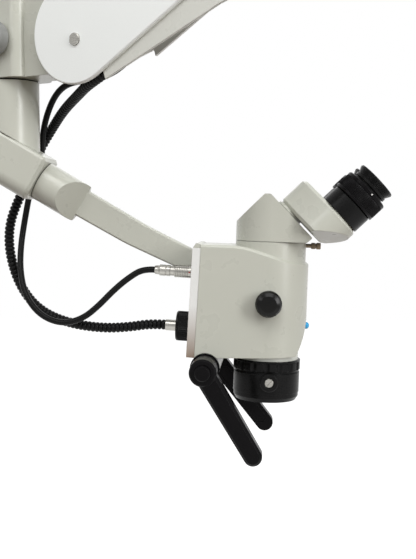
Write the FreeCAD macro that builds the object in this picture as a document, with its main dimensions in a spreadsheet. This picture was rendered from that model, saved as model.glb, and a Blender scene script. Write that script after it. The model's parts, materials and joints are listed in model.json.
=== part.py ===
"""Operating microscope head on its balanced spring arm.

The model frame has +Z up. Its origin is on the axis of the mounting spigot, at the shoulder
that rests on the extension arm. +X points from the column towards the eyepieces.
"""
import FreeCAD, Part
import math
import os
import re
import Sketcher

V = FreeCAD.Vector
UP = V(0, 0, 1)
SIDES = (("near", -1), ("far", 1))

doc = FreeCAD.newDocument("operating_microscope")
sheet = doc.addObject("Spreadsheet::Sheet", "sizes")

# Driving dimensions: name, value in millimetres or degrees, meaning
SIZES = [
    ("arm_yaw", -27, "swing of the spring arm about the vertical"),
    ("arm_tilt", 18, "rise of the spring arm from front to rear"),
    ("arm_span", 380, "between the front and rear arm pivots"),
    ("rear_reach", 92, "spigot axis to rear pivot"),
    ("front_reach", 100, "column axis to front pivot"),
    ("pivot_rise", 38, "arm pivots above the underside of the knuckles"),
    ("knuckle_wide", 56, "width of both knuckle housings"),
    ("knuckle_deep", 70, "length of both knuckle housings"),
    ("knuckle_tall", 95, "height of both knuckle housings"),
    ("knuckle_round", 11, "upright corner radius of the knuckles"),
    ("edge_round", 3, "small edge radius of the castings"),
    ("tongue_tall", 82, "height of the knuckle tongues"),
    ("tongue_nose", 18, "tongue past its pivot"),
    ("tongue_round", 12, "corner radius of the tongues"),
    ("beam_tall", 92, "height of the arm beam"),
    ("beam_wide", 44, "width of the arm beam"),
    ("beam_wall", 3, "wall of the arm beam"),
    ("beam_end", 43, "beam sides past each pivot"),
    ("beam_mouth", 22, "from a pivot to the roof of the beam"),
    ("floor_mouth", 40, "from the rear pivot to the floor of the beam"),
    ("lead_entry", 84, "from the front pivot to the floor of the beam"),
    ("floor_front", 34, "underside of the beam below its axis, at the front"),
    ("floor_rear", 22, "underside of the beam below its axis, past the cover"),
    ("skirt_start", 18.3, "where the near side of the beam drops below the cover"),
    ("skirt_front", 56.2, "near side of the beam below its axis, at the front"),
    ("skirt_rear", 41.7, "near side of the beam below its axis, past the cover"),
    ("skirt_long", 150, "from the front pivot to the end of both slopes"),
    ("side_gap", 0.4, "tongue to beam wall, each side"),
    ("run_gap", 0.05, "running clearance of a pin or shaft, on radius"),
    ("rest_gap", 0.3, "gap between faces that turn past each other"),
    ("pivot_pin", 8, "radius of the arm pivot pins"),
    ("link_pin", 5, "radius of the link pins"),
    ("link_rise", 30, "link pins above the arm pivots"),
    ("link_eye", 10, "radius of the link ends"),
    ("link_thick", 9.6, "thickness of the parallel link"),
    ("slot_floor", 10.5, "floor of the link slot above the arm pivot"),
    ("cover_big", 48.6, "radius of the arm cover over the knuckle"),
    ("cover_tip", 12, "radius of the far end of the arm cover"),
    ("cover_long", 155, "between the two radii of the arm cover"),
    ("cover_thick", 4, "thickness of the arm cover"),
    ("cover_ahead", 1, "big radius of the cover past the pivot"),
    ("cover_drop", 2.5, "big radius of the cover below the pivot"),
    ("cover_edge", 1.2, "edge of the arm cover"),
    ("cover_screw", 5.8, "radius of the arm cover screw"),
    ("spring_tube", 13, "radius of the balance spring tube"),
    ("spring_rod", 5, "radius of the balance spring rod"),
    ("spring_drop", 5, "balance spring below the arm pivots"),
    ("spigot_radius", 14, "mounting spigot"),
    ("spigot_long", 56, "mounting spigot"),
    ("spigot_seat", 4, "seat above the mounting spigot"),
    ("brake_radius", 16.4, "friction knob of the front knuckle"),
    ("brake_long", 16, "friction knob of the front knuckle"),
    ("brake_along", 9.2, "friction knob from the column axis"),
    ("brake_rise", 37, "friction knob above the underside"),
    ("column_radius", 28, "upright column"),
    ("column_seam", 1.5, "dark ring between column and knuckle"),
    ("shaft_radius", 12, "column shaft"),
    ("shaft_rise", 58, "column shaft inside the knuckle"),
    ("shaft_depth", 30, "column shaft inside the column"),
    ("swivel_drop", 81.4, "knuckle underside to the oblique axis, at the column"),
    ("swivel_tilt", 30.5, "oblique swivel axis below the horizontal"),
    ("block_tall", 47, "oblique block, square to its axis"),
    ("block_wide", 56, "oblique block"),
    ("block_front", 35, "block end from the column axis, along the swivel axis"),
    ("block_back", 52, "block start from the column axis, along the swivel axis"),
    ("block_belly", 14, "lower corner radius of the block"),
    ("block_edge", 4, "upper corner radius of the block"),
    ("cap_thick", 6, "end cap of the block"),
    ("drum_radius", 20, "drum of the carrier bar"),
    ("drum_end", 81, "end of the drum from the column axis"),
    ("drum_facet", 47.5, "slanted facet on the near side of the drum"),
    ("facet_start", 59, "where the facet begins"),
    ("spindle_radius", 14, "oblique spindle"),
    ("spindle_seat", 18, "shoulder of the spindle bore behind the column axis"),
    ("nut_radius", 17, "spindle nut"),
    ("nut_thick", 10, "spindle nut"),
    ("bar_thick", 14, "carrier bar"),
    ("bar_offset", 4, "near face of the bar behind the centre plane"),
    ("head_forward", 260, "column axis to optical axis"),
    ("head_drop", 137.6, "oblique axis at the column to the drum axis of the head"),
    ("head_pitch", 1.8, "head leans forward"),
    ("body_half", 38, "half width of the head body, and its front radius"),
    ("body_low", 56, "bottom of the head body below the drum axis"),
    ("body_high", 54.5, "rear top of the head body above the drum axis"),
    ("shoulder_high", 39.2, "front shoulder above the drum axis"),
    ("body_rear", 70.5, "rear seam behind the optical axis"),
    ("body_toe", 28, "front of the body at its bottom"),
    ("toe_rise", 3.3, "bottom of the body, higher at the front"),
    ("plate_lean", 1.7, "lean of the rear plate"),
    ("plate_thick", 8, "rear plate"),
    ("plate_tall", 107, "bare height of the rear plate"),
    ("trim_tall", 4.5, "painted strip on top of the rear plate"),
    ("neck_radius", 35, "round neck below the binocular"),
    ("seam_high", 59.2, "binocular seam above the drum axis"),
    ("boss_radius", 13.9, "cross boss of the handles"),
    ("boss_back", 59.4, "handle axis behind the optical axis"),
    ("boss_drop", 65, "handle axis below the drum axis"),
    ("boss_stand", 1, "cross boss past the side of the body"),
    ("path_radius", 20, "optical bore through the body"),
    ("drum_bay", 25.5, "bay of the magnification drum"),
    ("drum_bay_half", 24, "half length of the drum bay"),
    ("zoom_half", 22, "half length of the magnification drum"),
    ("zoom_shaft", 4, "magnification shaft radius"),
    ("knob_radius", 12.8, "magnification knob"),
    ("knob_gap", 3, "inner face of the knob from the side of the body"),
    ("knob_long", 13, "magnification knob"),
    ("button_drop", 24.2, "front button below the drum axis"),
    ("button_radius", 3.5, "front button"),
    ("mount_radius", 33.5, "pale ring under the body"),
    ("mount_sink", 4, "pale ring inside the body"),
    ("mount_thick", 2.5, "pale ring under the body"),
    ("neck_long", 14, "threaded neck under the pale ring"),
    ("focus_radius", 33.4, "focus ring"),
    ("focus_tall", 9.6, "focus ring"),
    ("lobes", 16, "grip hollows round the focus ring"),
    ("lobe_radius", 3.4, "grip hollow"),
    ("sleeve_radius", 33, "objective sleeve"),
    ("sleeve_low", 98.5, "bottom of the objective sleeve below the drum axis"),
    ("stud_drop", 78.2, "round boss of the sleeve below the drum axis"),
    ("stud_turn", 5, "round boss of the sleeve, turned to the front"),
    ("stud_radius", 9, "round boss of the sleeve"),
    ("cell_radius", 25, "sliding lens cell"),
    ("lens_radius", 22, "objective lens"),
    ("handle_hub", 13.1, "hub of a handle"),
    ("handle_tip", 8.9, "tip of a handle"),
    ("handle_long", 92.7, "hub to tip of a handle"),
    ("handle_root", 10, "handle arm at its hub"),
    ("handle_near_drop", 57.6, "near handle below the head's forward line"),
    ("handle_far_drop", 50.4, "far handle below the head's forward line"),
    ("flange_thick", 5, "toothed flange behind a handle"),
    ("hub_wide", 29, "handle hub along its axis"),
    ("arm_thick", 16, "handle arm along its axis"),
    ("axle_radius", 5, "handle axle"),
    ("cap_radius", 7.5, "push button in a handle hub"),
    ("cap_travel", 3, "push button in a handle hub"),
    ("port_high", 84, "signal connector above the plate bottom"),
    ("port_side", -5, "signal connector from the centre plane"),
    ("plug_radius", 6.3, "signal plug"),
    ("guide_high", 26, "light guide port above the plate bottom"),
    ("guide_radius", 9, "light guide port"),
    ("collar_radius", 15, "light guide collar"),
    ("collar_long", 14.5, "light guide collar"),
    ("ferrule_radius", 5.7, "light guide ferrule"),
    ("ferrule_long", 11, "ferrule past the collar"),
    ("hose_radius", 5.2, "corrugated light guide hose"),
    ("lead_radius", 3.2, "signal lead"),
    ("apex_back", 1.6, "binocular ridge behind the optical axis"),
    ("apex_high", 105.5, "binocular ridge above the drum axis"),
    ("ridge_wide", 5.7, "binocular ridge"),
    ("lip_forward", 39.9, "front lip of the binocular"),
    ("disc_along", 25.8, "prism disc from the ridge, down the slope"),
    ("disc_side", 17, "prism disc axis from the centre plane"),
    ("disc_radius", 14.6, "prism disc"),
    ("disc_thick", 2.2, "prism disc"),
    ("prism_top", 14, "upper radius of a prism housing"),
    ("prism_low", 22.5, "lower radius of a prism housing"),
    ("prism_reach", 37.3, "disc axis to eyepiece axis"),
    ("prism_thick", 30.8, "prism housing along the eyepiece axis"),
    ("prism_splay", 23.7, "prism housings turned outwards"),
    ("tube_radius", 21.8, "eyepiece tube"),
    ("tube_long", 17.4, "eyepiece tube"),
    ("ring_radius", 23.4, "eyepiece ring"),
    ("ring_long", 18.6, "eyepiece ring"),
    ("cup_radius", 20.4, "eyecup rim"),
    ("cup_long", 12.6, "eyecup"),
    ("screw_radius", 3.3, "thumb screw knob"),
]
NAMES = {name for name, value, meaning in SIZES}
for row, (name, value, meaning) in enumerate(SIZES, start=1):
    sheet.set("A%d" % row, meaning)
    sheet.set("B%d" % row, str(value))
    sheet.setAlias("B%d" % row, name)
doc.recompute()


def bound(text):
    """An expression in which every size points at its cell."""
    return re.sub(r"[a-z][a-z_0-9]*", lambda word: "sizes." + word[0] if word[0] in NAMES else word[0],
                  str(text))


def num(text):
    """The value of an expression in plain millimetres or degrees."""
    result = sheet.evalExpression(bound(text))
    return float(getattr(result, "Value", result))


def turn(axis, degrees):
    return FreeCAD.Rotation(axis, degrees)


def shift(frame, along, side, rise, rotation=FreeCAD.Rotation()):
    """A frame placed inside another one."""
    return frame.multiply(FreeCAD.Placement(V(num(along), num(side), num(rise)), rotation))


# What stands on the sides of the head follows its half width
BOSS_HALF = "(body_half+boss_stand)"
KNOB_START = "(body_half+knob_gap)"

TO_FRONT = turn(V(0, 1, 0), 90)
TO_REAR = turn(V(0, 1, 0), -90)
TO_NEAR = turn(V(1, 0, 0), 90)
TO_FAR = turn(V(1, 0, 0), -90)

# Frames of the carried groups, from the spigot to the eyepieces
REAR = FreeCAD.Placement(V(0, 0, num("spigot_seat")), turn(UP, num("arm_yaw")))
REAR_PIVOT = shift(REAR, "-rear_reach", 0, "pivot_rise")
ARM = shift(REAR_PIVOT, "-arm_span*cos(arm_tilt)", 0, "-arm_span*sin(arm_tilt)",
            turn(V(0, 1, 0), -num("arm_tilt")))
YOKE = shift(REAR, "-rear_reach-arm_span*cos(arm_tilt)-front_reach", 0, "-arm_span*sin(arm_tilt)")
LOWER = FreeCAD.Placement(YOKE.Base, FreeCAD.Rotation())
TILT = shift(LOWER, 0, 0, "-swivel_drop", turn(V(0, 1, 0), num("swivel_tilt")))
HEAD = shift(LOWER, "head_forward", 0, "-swivel_drop-head_drop", turn(V(0, 1, 0), num("head_pitch")))
PLATE = shift(HEAD, "-body_rear", 0, "-body_low", turn(V(0, 1, 0), num("plate_lean")))
DISC = {side: shift(HEAD, "-apex_back+disc_along*sqrt(0.5)", "%d*disc_side" % way,
                    "apex_high-disc_along*sqrt(0.5)", turn(V(0, 1, 0), 45)) for side, way in SIDES}
PRISM = {side: shift(DISC[side], 0, 0, 0, turn(UP, way * num("prism_splay"))) for side, way in SIDES}
HUB = {side: shift(HEAD, "-boss_back", 0, "-boss_drop", TO_NEAR if way < 0 else TO_FAR)
       for side, way in SIDES}

pieces = []


def keep(thing, label, frame=None):
    """Names a finished sub-part and puts it in its place."""
    thing.Label = label
    if frame is not None:
        thing.Placement = frame
    pieces.append(thing)
    return thing


def new_body(name):
    return doc.addObject("PartDesign::Body", name)


def sketch(body, plane="XY_Plane", at="0"):
    """A sketch on one of the body's own planes, moved along the normal of that plane."""
    base = [feature for feature in body.Origin.OriginFeatures if feature.Role == plane][0]
    drawing = body.newObject("Sketcher::SketchObject", body.Name + "_sketch")
    drawing.AttachmentSupport = [(base, "")]
    drawing.MapMode = "FlatFace"
    drawing.setExpression(".AttachmentOffset.Base.z", bound(at))
    return drawing


def fix(drawing, kind, *details, value=None):
    """A constraint, bound to the sheet when it carries a value."""
    if value is None:
        return drawing.addConstraint(Sketcher.Constraint(kind, *details))
    index = drawing.addConstraint(Sketcher.Constraint(kind, *details, num(value)))
    drawing.setExpression("Constraints[%d]" % index, bound(value))
    return index


def pin_down(drawing, shape, end, across, up):
    fix(drawing, "DistanceX", -1, 1, shape, end, value=across)
    fix(drawing, "DistanceY", -1, 1, shape, end, value=up)


def outline(drawing, corners):
    """A closed outline through corners (across, up[, radius]), with a tangent arc at each radius."""
    points = [V(num(corner[0]), num(corner[1]), 0) for corner in corners]
    radii = [num(corner[2]) if len(corner) > 2 else 0 for corner in corners]
    count = len(points)
    starts, ends, centres = [], [], []
    for index, (point, radius) in enumerate(zip(points, radii)):
        before = (points[index - 1] - point).normalize()
        after = (points[(index + 1) % count] - point).normalize()
        half = before.getAngle(after) / 2
        trim = radius / math.tan(half)
        starts.append(point + before * trim)
        ends.append(point + after * trim)
        centres.append(point + (before + after).normalize() * (radius / math.sin(half)) if radius else None)
    for index in range(count):
        drawing.addGeometry(Part.LineSegment(ends[index], starts[(index + 1) % count]), False)
    for index, (corner, radius) in enumerate(zip(corners, radii)):
        previous = (index - 1) % count
        if not radius:
            fix(drawing, "Coincident", previous, 2, index, 1)
            pin_down(drawing, index, 1, corner[0], corner[1])
            continue
        centre = centres[index]
        first = math.atan2(starts[index].y - centre.y, starts[index].x - centre.x)
        last = math.atan2(ends[index].y - centre.y, ends[index].x - centre.x)
        left_turn = (last - first) % (2 * math.pi) < math.pi
        low, high = (first, last) if left_turn else (last, first)
        arc = drawing.addGeometry(Part.ArcOfCircle(Part.Circle(centre, UP, radius), low, high), False)
        tip = drawing.addGeometry(Part.Point(points[index]), True)
        fix(drawing, "Tangent", previous, 2, arc, 1 if left_turn else 2)
        fix(drawing, "Tangent", arc, 2 if left_turn else 1, index, 1)
        fix(drawing, "Radius", arc, value=corner[2])
        pin_down(drawing, tip, 1, corner[0], corner[1])
        fix(drawing, "PointOnObject", tip, 1, previous)
        fix(drawing, "PointOnObject", tip, 1, index)
    return drawing


def box_outline(drawing, left, low, right, high, radius=None):
    tail = () if radius is None else (radius,)
    return outline(drawing, [(left, low) + tail, (right, low) + tail, (right, high) + tail,
                             (left, high) + tail])


def circle(drawing, across, up, radius):
    ring = drawing.addGeometry(Part.Circle(V(num(across), num(up), 0), UP, num(radius)), False)
    fix(drawing, "Radius", ring, value=radius)
    pin_down(drawing, ring, 3, across, up)
    return drawing


def two_rounds(drawing, first, second, length):
    """The outline round two circles, the first at the origin and the second along the line."""
    big, small, reach = num(first), num(second), num(length)
    corner = math.acos((big - small) / reach)
    full = 2 * math.pi
    drawing.addGeometry(Part.ArcOfCircle(Part.Circle(V(), UP, big), corner, full - corner), False)
    drawing.addGeometry(Part.ArcOfCircle(Part.Circle(V(reach, 0, 0), UP, small), -corner, corner), False)
    edge = V(math.cos(corner), math.sin(corner), 0)
    low_edge = V(edge.x, -edge.y, 0)
    far = V(reach, 0, 0)
    drawing.addGeometry(Part.LineSegment(edge * big, far + edge * small), False)
    drawing.addGeometry(Part.LineSegment(low_edge * big, far + low_edge * small), False)
    for line, arc_one, arc_two in ((2, 1, 2), (3, 2, 1)):
        fix(drawing, "Tangent", line, 1, 0, arc_one)
        fix(drawing, "Tangent", line, 2, 1, arc_two)
    fix(drawing, "Radius", 0, value=first)
    fix(drawing, "Radius", 1, value=second)
    pin_down(drawing, 0, 3, "0", "0")
    pin_down(drawing, 1, 3, length, "0")
    return drawing


def feature(body, kind, drawing, length=None, both=False, back=False):
    """A pad, pocket, revolution or groove of one sketch."""
    made = body.newObject("PartDesign::" + kind, body.Name + "_" + kind.lower())
    made.Profile = drawing
    drawing.Visibility = False
    if kind in ("Revolution", "Groove"):
        made.ReferenceAxis = (drawing, ["V_Axis"])
        made.Angle = 360
        return made
    if both:
        made.SideType = "Symmetric"
    made.Reversed = back
    made.setExpression("Length", bound(length))
    return made


def turned(name, frame, profile, hidden=False):
    """A piece turned about the Z axis of its frame, from (radius, height) corners."""
    body = new_body(name)
    feature(body, "Revolution", outline(sketch(body, "XZ_Plane"), profile))
    if hidden:
        body.Placement = frame
        return body
    return keep(body, name, frame)


def ring_profile(inner, outer, low, high):
    return [(inner, low), (outer, low), (outer, high), (inner, high)]


def eased(body, size, test):
    """A chamfer on every edge of the body that passes the test."""
    doc.recompute()
    tip = body.Tip
    chosen = ["Edge%d" % (index + 1) for index, edge in enumerate(tip.Shape.Edges) if test(edge)]
    made = body.newObject("PartDesign::Chamfer", body.Name + "_chamfer")
    made.Base = (tip, chosen)
    made.setExpression("Size", bound(size))
    doc.recompute()
    return made


def repeat(body, cut, count):
    """The same cut again round the turning axis."""
    doc.recompute()
    ring = body.newObject("PartDesign::PolarPattern", body.Name + "_ring")
    ring.Originals = [cut]
    ring.Axis = ([line for line in body.Origin.OriginFeatures if line.Role == "Z_Axis"][0], [""])
    ring.Angle = 360
    ring.setExpression("Occurrences", bound(count))
    body.Tip = ring
    return ring


def solid(kind, name, frame, **sizes):
    """A primitive whose sizes are bound to the sheet."""
    made = doc.addObject("Part::" + kind, name)
    for prop, text in sizes.items():
        made.setExpression(prop, bound(text))
    made.Placement = frame
    return made


def combine(kind, name, *things):
    made = doc.addObject("Part::" + kind, name)
    if kind == "Cut":
        made.Base, made.Tool = things
        made.Refine = True
    elif kind == "Compound":
        made.Links = list(things)
    else:
        made.Shapes = list(things)
        made.Refine = True
    return made


# Knuckles: a rounded housing with a tongue that enters the beam
def knuckle(name, frame, reach, way):
    """One knuckle; way is +1 where its tongue points along the frame's X axis."""
    body = new_body(name)
    half = "knuckle_deep/2"
    plan = box_outline(sketch(body), "-" + half, "-knuckle_wide/2", half, "knuckle_wide/2", "knuckle_round")
    feature(body, "Pad", plan, "knuckle_tall")
    eased(body, "edge_round", lambda edge: edge.BoundBox.ZMin > num("knuckle_tall") - 0.01)
    nose = "%d*(%s+tongue_nose)" % (way, reach)
    corners = [("0", "0"), (nose, "0", "tongue_round"), (nose, "tongue_tall", "tongue_round"),
               ("0", "tongue_tall")]
    tongue_wide = "beam_wide-2*beam_wall-2*side_gap"
    feature(body, "Pad", outline(sketch(body, "XZ_Plane"), corners), tongue_wide, both=True)
    pivot = "%d*%s" % (way, reach)
    holes = sketch(body, "XZ_Plane")
    circle(holes, pivot, "pivot_rise", "pivot_pin+run_gap")
    circle(holes, pivot, "pivot_rise+link_rise", "link_pin+run_gap")
    feature(body, "Pocket", holes, "knuckle_wide", both=True)
    slot = box_outline(sketch(body, "XZ_Plane"), "%d*(%s-link_eye-8)" % (way, reach), "pivot_rise+slot_floor",
                       "%d*(%s+tongue_nose+5)" % (way, reach), "tongue_tall+5")
    feature(body, "Pocket", slot, "link_thick+2*side_gap", both=True)
    return body


rear_knuckle = knuckle("rear_knuckle", REAR, "rear_reach", -1)
ramp_top = "pivot_rise+slot_floor"
ramp_nose = "-rear_reach-tongue_nose"
ramp = outline(sketch(rear_knuckle, "XZ_Plane"),
               [("-rear_reach-6", ramp_top), (ramp_nose + "-5", ramp_top + "-19"), (ramp_nose + "-5", ramp_top + "+4"),
                ("-rear_reach-6", ramp_top + "+4")])
feature(rear_knuckle, "Pocket", ramp, "link_thick+2*side_gap", both=True)
feature(rear_knuckle, "Pocket", circle(sketch(rear_knuckle), "0", "0", "shaft_radius"), "shaft_rise", back=True)
keep(rear_knuckle, "rear_knuckle", REAR)
front_yoke = knuckle("front_yoke", YOKE, "front_reach", 1)
feature(front_yoke, "Pocket", circle(sketch(front_yoke), "0", "0", "shaft_radius+run_gap"),
        "shaft_rise+2", back=True)
brake_hole = circle(sketch(front_yoke, "XZ_Plane", "knuckle_wide/2"), "brake_along", "brake_rise", "4+run_gap")
feature(front_yoke, "Pocket", brake_hole, "12")
keep(front_yoke, "front_yoke", YOKE)

turned("mounting_spigot", REAR, [
    ("0", "-spigot_seat-spigot_long"), ("spigot_radius-1.5", "-spigot_seat-spigot_long"),
    ("spigot_radius", "-spigot_seat-spigot_long+1.5"), ("spigot_radius", "-spigot_seat"),
    ("spigot_radius+8", "-spigot_seat"), ("spigot_radius+8", "0"), ("shaft_radius", "0"),
    ("shaft_radius", "shaft_rise-2"), ("0", "shaft_rise-2")])


def pivot_pins(name, frame):
    """The arm pin and the link pin of one knuckle, across the beam."""
    pins = []
    for index, (radius, rise, half) in enumerate((("pivot_pin", "0", "beam_wide/2-0.2"),
                                                  ("link_pin", "link_rise", "beam_wide/2-beam_wall-0.5"))):
        seat = shift(frame, 0, "-(" + half + ")", rise, TO_FAR)
        pins.append(solid("Cylinder", name + "_pin", seat, Radius=radius, Height="2*(" + half + ")"))
    keep(combine("Compound", name, *pins), name)


FRONT_PIVOT = shift(YOKE, "front_reach", 0, "pivot_rise")
pivot_pins("rear_pins", REAR_PIVOT)
pivot_pins("front_pins", FRONT_PIVOT)

# Spring arm: box beam, side covers, parallel link and balance spring
beam = new_body("arm_beam")
inner_half = "(beam_wide/2-beam_wall)"
end_round = "beam_end-1"
front_end, rear_end = "-beam_end", "arm_span+beam_end"
rear_slope = "arm_span-skirt_long/2"
side_view = outline(sketch(beam, "XZ_Plane"),
                    [(front_end, "-beam_tall/2", end_round), ("skirt_start", "-beam_tall/2"),
                     ("skirt_start", "-skirt_front"), ("skirt_long", "-skirt_rear"), (rear_slope, "-skirt_rear"),
                     (rear_end, "-beam_tall/2", end_round), (rear_end, "beam_tall/2", end_round),
                     (front_end, "beam_tall/2", end_round)])
feature(beam, "Pad", side_view, "beam_wide", both=True)
floor_line = [("-beam_end-1", "-floor_front"), ("beam_mouth", "-floor_front"), ("skirt_long", "-floor_rear"),
              (rear_slope, "-floor_rear"), ("arm_span-floor_mouth", "-floor_front"),
              ("arm_span+beam_end+1", "-floor_front")]
room = outline(sketch(beam, "XZ_Plane"),
               [(along, rise + "+beam_wall") for along, rise in floor_line]
               + [("arm_span+beam_end+1", "beam_tall/2-beam_wall"), ("-beam_end-1", "beam_tall/2-beam_wall")])
feature(beam, "Pocket", room, "2*" + inner_half, both=True)
below = outline(sketch(beam, "XZ_Plane", inner_half),
                floor_line + [("arm_span+beam_end+1", "-beam_tall"), ("-beam_end-1", "-beam_tall")])
feature(beam, "Pocket", below, inner_half + "+beam_wide/2+1")
for left, low, right, high in (("-beam_end-1", "-beam_tall/2-1", "lead_entry", "0"),
                               ("-beam_end-1", "-1", "beam_mouth", "beam_tall/2+1"),
                               ("arm_span-floor_mouth", "-beam_tall/2-1", "arm_span+beam_end+1", "0"),
                               ("arm_span-beam_mouth", "-1", "arm_span+beam_end+1", "beam_tall/2+1")):
    mouth = box_outline(sketch(beam, "XZ_Plane"), left, low, right, high)
    feature(beam, "Pocket", mouth, "2*" + inner_half, both=True)
pin_holes = sketch(beam, "XZ_Plane")
circle(pin_holes, "0", "0", "pivot_pin+run_gap")
circle(pin_holes, "arm_span", "0", "pivot_pin+run_gap")
feature(beam, "Pocket", pin_holes, "beam_wide+2", both=True)
keep(beam, "arm_beam", ARM)

screws = []
COVER = shift(ARM, "cover_ahead", 0, "-cover_drop")
for side, way in SIDES:
    cover = new_body("arm_cover_" + side)
    inner = "beam_wide/2+cover_thick" if way < 0 else "-beam_wide/2"
    face = two_rounds(sketch(cover, "XZ_Plane", inner), "cover_big", "cover_tip", "cover_long")
    feature(cover, "Pad", face, "cover_thick", back=True)
    if way > 0:
        low_side = box_outline(sketch(cover, "XZ_Plane"), "-cover_big-1", "-cover_big-1", "cover_big+1",
                               "cover_drop-floor_front")
        feature(cover, "Pocket", low_side, "2*beam_wide", both=True)
    outer = way * (num("beam_wide/2+cover_thick"))
    eased(cover, "cover_edge", lambda edge: abs(edge.BoundBox.YMin - outer) < 0.01
            and abs(edge.BoundBox.YMax - outer) < 0.01)
    keep(cover, "arm_cover_" + side, COVER)
    seat = shift(ARM, 0, "%d*(beam_wide/2+cover_thick)" % way, -10, TO_NEAR if way < 0 else TO_FAR)
    screws.append(turned("cover_screw", seat, [("0", "0"), ("cover_screw", "0"), ("cover_screw", "1"),
                                               ("cover_screw-1", "1.8"), ("0", "1.8")], hidden=True))
keep(combine("Compound", "cover_screws", *screws), "cover_screws")

link = new_body("parallel_link")
bar = outline(sketch(link, "XZ_Plane"), [("-link_eye", "-link_eye", "link_eye-0.5"),
                                         ("arm_span+link_eye", "-link_eye", "link_eye-0.5"),
                                         ("arm_span+link_eye", "link_eye", "link_eye-0.5"),
                                         ("-link_eye", "link_eye", "link_eye-0.5")])
feature(link, "Pad", bar, "link_thick", both=True)
eyes = sketch(link, "XZ_Plane")
circle(eyes, "0", "0", "link_pin+run_gap")
circle(eyes, "arm_span", "0", "link_pin+run_gap")
feature(link, "Pocket", eyes, "link_thick+2", both=True)
LINK = shift(YOKE, "front_reach", 0, "pivot_rise+link_rise", turn(V(0, 1, 0), -num("arm_tilt")))
keep(link, "parallel_link", LINK)

spring_seat = shift(ARM, "cover_long/2", 0, "-spring_drop", TO_FRONT)
spring = turned("balance_spring_tube", spring_seat,
                [("0", "0"), ("spring_rod", "0"), ("spring_rod", "arm_span*0.2"),
                 ("spring_tube", "arm_span*0.2"), ("spring_tube", "arm_span*0.58"), ("0", "arm_span*0.58")],
                hidden=True)
spring_ends = []
for along in ("cover_long/2-6", "cover_long/2+arm_span*0.58+6"):
    end = shift(ARM, along, "-beam_wide/2+beam_wall", "-spring_drop", TO_FAR)
    spring_ends.append(solid("Cylinder", "spring_end", end, Radius="6", Height="beam_wide-2*beam_wall"))
keep(combine("Compound", "balance_spring", spring, *spring_ends), "balance_spring")

knob_seat = shift(YOKE, "brake_along", "-knuckle_wide/2", "brake_rise", TO_NEAR)
turned("brake_knob", knob_seat, [("0", "-8"), ("4", "-8"), ("4", "rest_gap"), ("brake_radius-2", "rest_gap"),
                                 ("brake_radius", "3"), ("brake_radius", "brake_long-3"),
                                 ("brake_radius-3", "brake_long"), ("0", "brake_long")])

# Column and the oblique block under it
collar_low = "-column_seam"
column_long = "swivel_drop-column_seam"
column = solid("Cylinder", "column_blank", shift(LOWER, 0, 0, "-swivel_drop"), Radius="column_radius",
               Height=column_long)
column_bore = solid("Cylinder", "column_bore", shift(LOWER, 0, 0, "-shaft_depth-1"), Radius="shaft_radius",
                    Height="shaft_depth+2")
block_room = solid("Box", "block_room", shift(TILT, -150, -150, "-300+block_tall/2"), Length="300",
                   Width="300", Height="300")
column_tool = combine("MultiFuse", "column_tool", column_bore, block_room)
keep(combine("Cut", "column_tube", column, column_tool), "column_tube")
turned("column_collar", LOWER, ring_profile("shaft_radius+run_gap", "column_radius-1.5", "-column_seam", "-rest_gap"))
turned("column_shaft", LOWER, [("0", "-shaft_depth"), ("shaft_radius", "-shaft_depth"),
                               ("shaft_radius", "shaft_rise"), ("0", "shaft_rise")])


def block_section(drawing, less="0"):
    half, rise = "block_wide/2-" + less, "block_tall/2-" + less
    return outline(drawing, [("-(%s)" % half, "-(%s)" % rise, "block_belly"),
                             (half, "-(%s)" % rise, "block_belly"), (half, rise, "block_edge"),
                             ("-(%s)" % half, rise, "block_edge")])


block = new_body("swivel_block")
feature(block, "Pad", block_section(sketch(block, "YZ_Plane", "-block_back")), "block_front+block_back")
eased(block, "edge_round", lambda edge: edge.BoundBox.XMin > num("block_front") - 0.01)
bore = circle(sketch(block, "YZ_Plane", "-block_back"), "0", "0", "spindle_radius+run_gap")
feature(block, "Pocket", bore, "block_front+block_back", back=True)
wide_bore = circle(sketch(block, "YZ_Plane", "-block_back"), "0", "0", "nut_radius+2")
feature(block, "Pocket", wide_bore, "block_back-spindle_seat", back=True)
keep(block, "swivel_block", TILT)
cap = new_body("block_end_cap")
feature(cap, "Pad", block_section(sketch(cap, "YZ_Plane", "-block_back-cap_thick")), "cap_thick")
eased(cap, "edge_round", lambda edge: edge.BoundBox.XMax < num("-block_back-cap_thick") + 0.01)
keep(cap, "block_end_cap", TILT)
turned("block_screw", shift(TILT, -12.4, "-block_wide/2", -4.5, TO_NEAR),
       [("0", "0"), ("4", "0"), ("4", "0.8"), ("3.2", "1.4"), ("0", "1.4")])

# Carrier bar: drum with a slanted facet, then a flat bar to the head
drum = solid("Cylinder", "drum_blank", shift(TILT, "block_front+rest_gap+0.6", 0, 0, TO_FRONT),
             Radius="drum_radius", Height="drum_end-block_front-rest_gap-0.6")
facet_turn = turn(UP, num("drum_facet"))
facet = solid("Box", "facet_tool",
              shift(shift(TILT, "facet_start", "-drum_radius", 0, facet_turn), -40, -80, -40),
              Length="130", Width="80", Height="80")
bar_body = new_body("bar_blank")
bar_side = outline(sketch(bar_body, "XZ_Plane", "-bar_offset-bar_thick"),
                   [("50", "-14.2"), ("140", "-12.1", "200"), ("187", "-7.4", "200"), ("240", "-2.2"),
                    ("240", "20.9"), ("200", "17.7"), ("150", "14.6", "200"), ("50", "14.6")])
feature(bar_body, "Pad", bar_side, "bar_thick")
eased(bar_body, "1.5", lambda edge: edge.BoundBox.YMax - edge.BoundBox.YMin < 0.01)
bar_body.Placement = TILT
drum_cut = combine("Cut", "drum_cut", drum, facet)
bar_fused = combine("MultiFuse", "bar_fused", drum_cut, bar_body)
plate_room = solid("Box", "plate_room", shift(PLATE, "-plate_thick", -100, -100), Length="200",
                   Width="200", Height="300")
keep(combine("Cut", "carrier_bar", bar_fused, plate_room), "carrier_bar")
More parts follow.
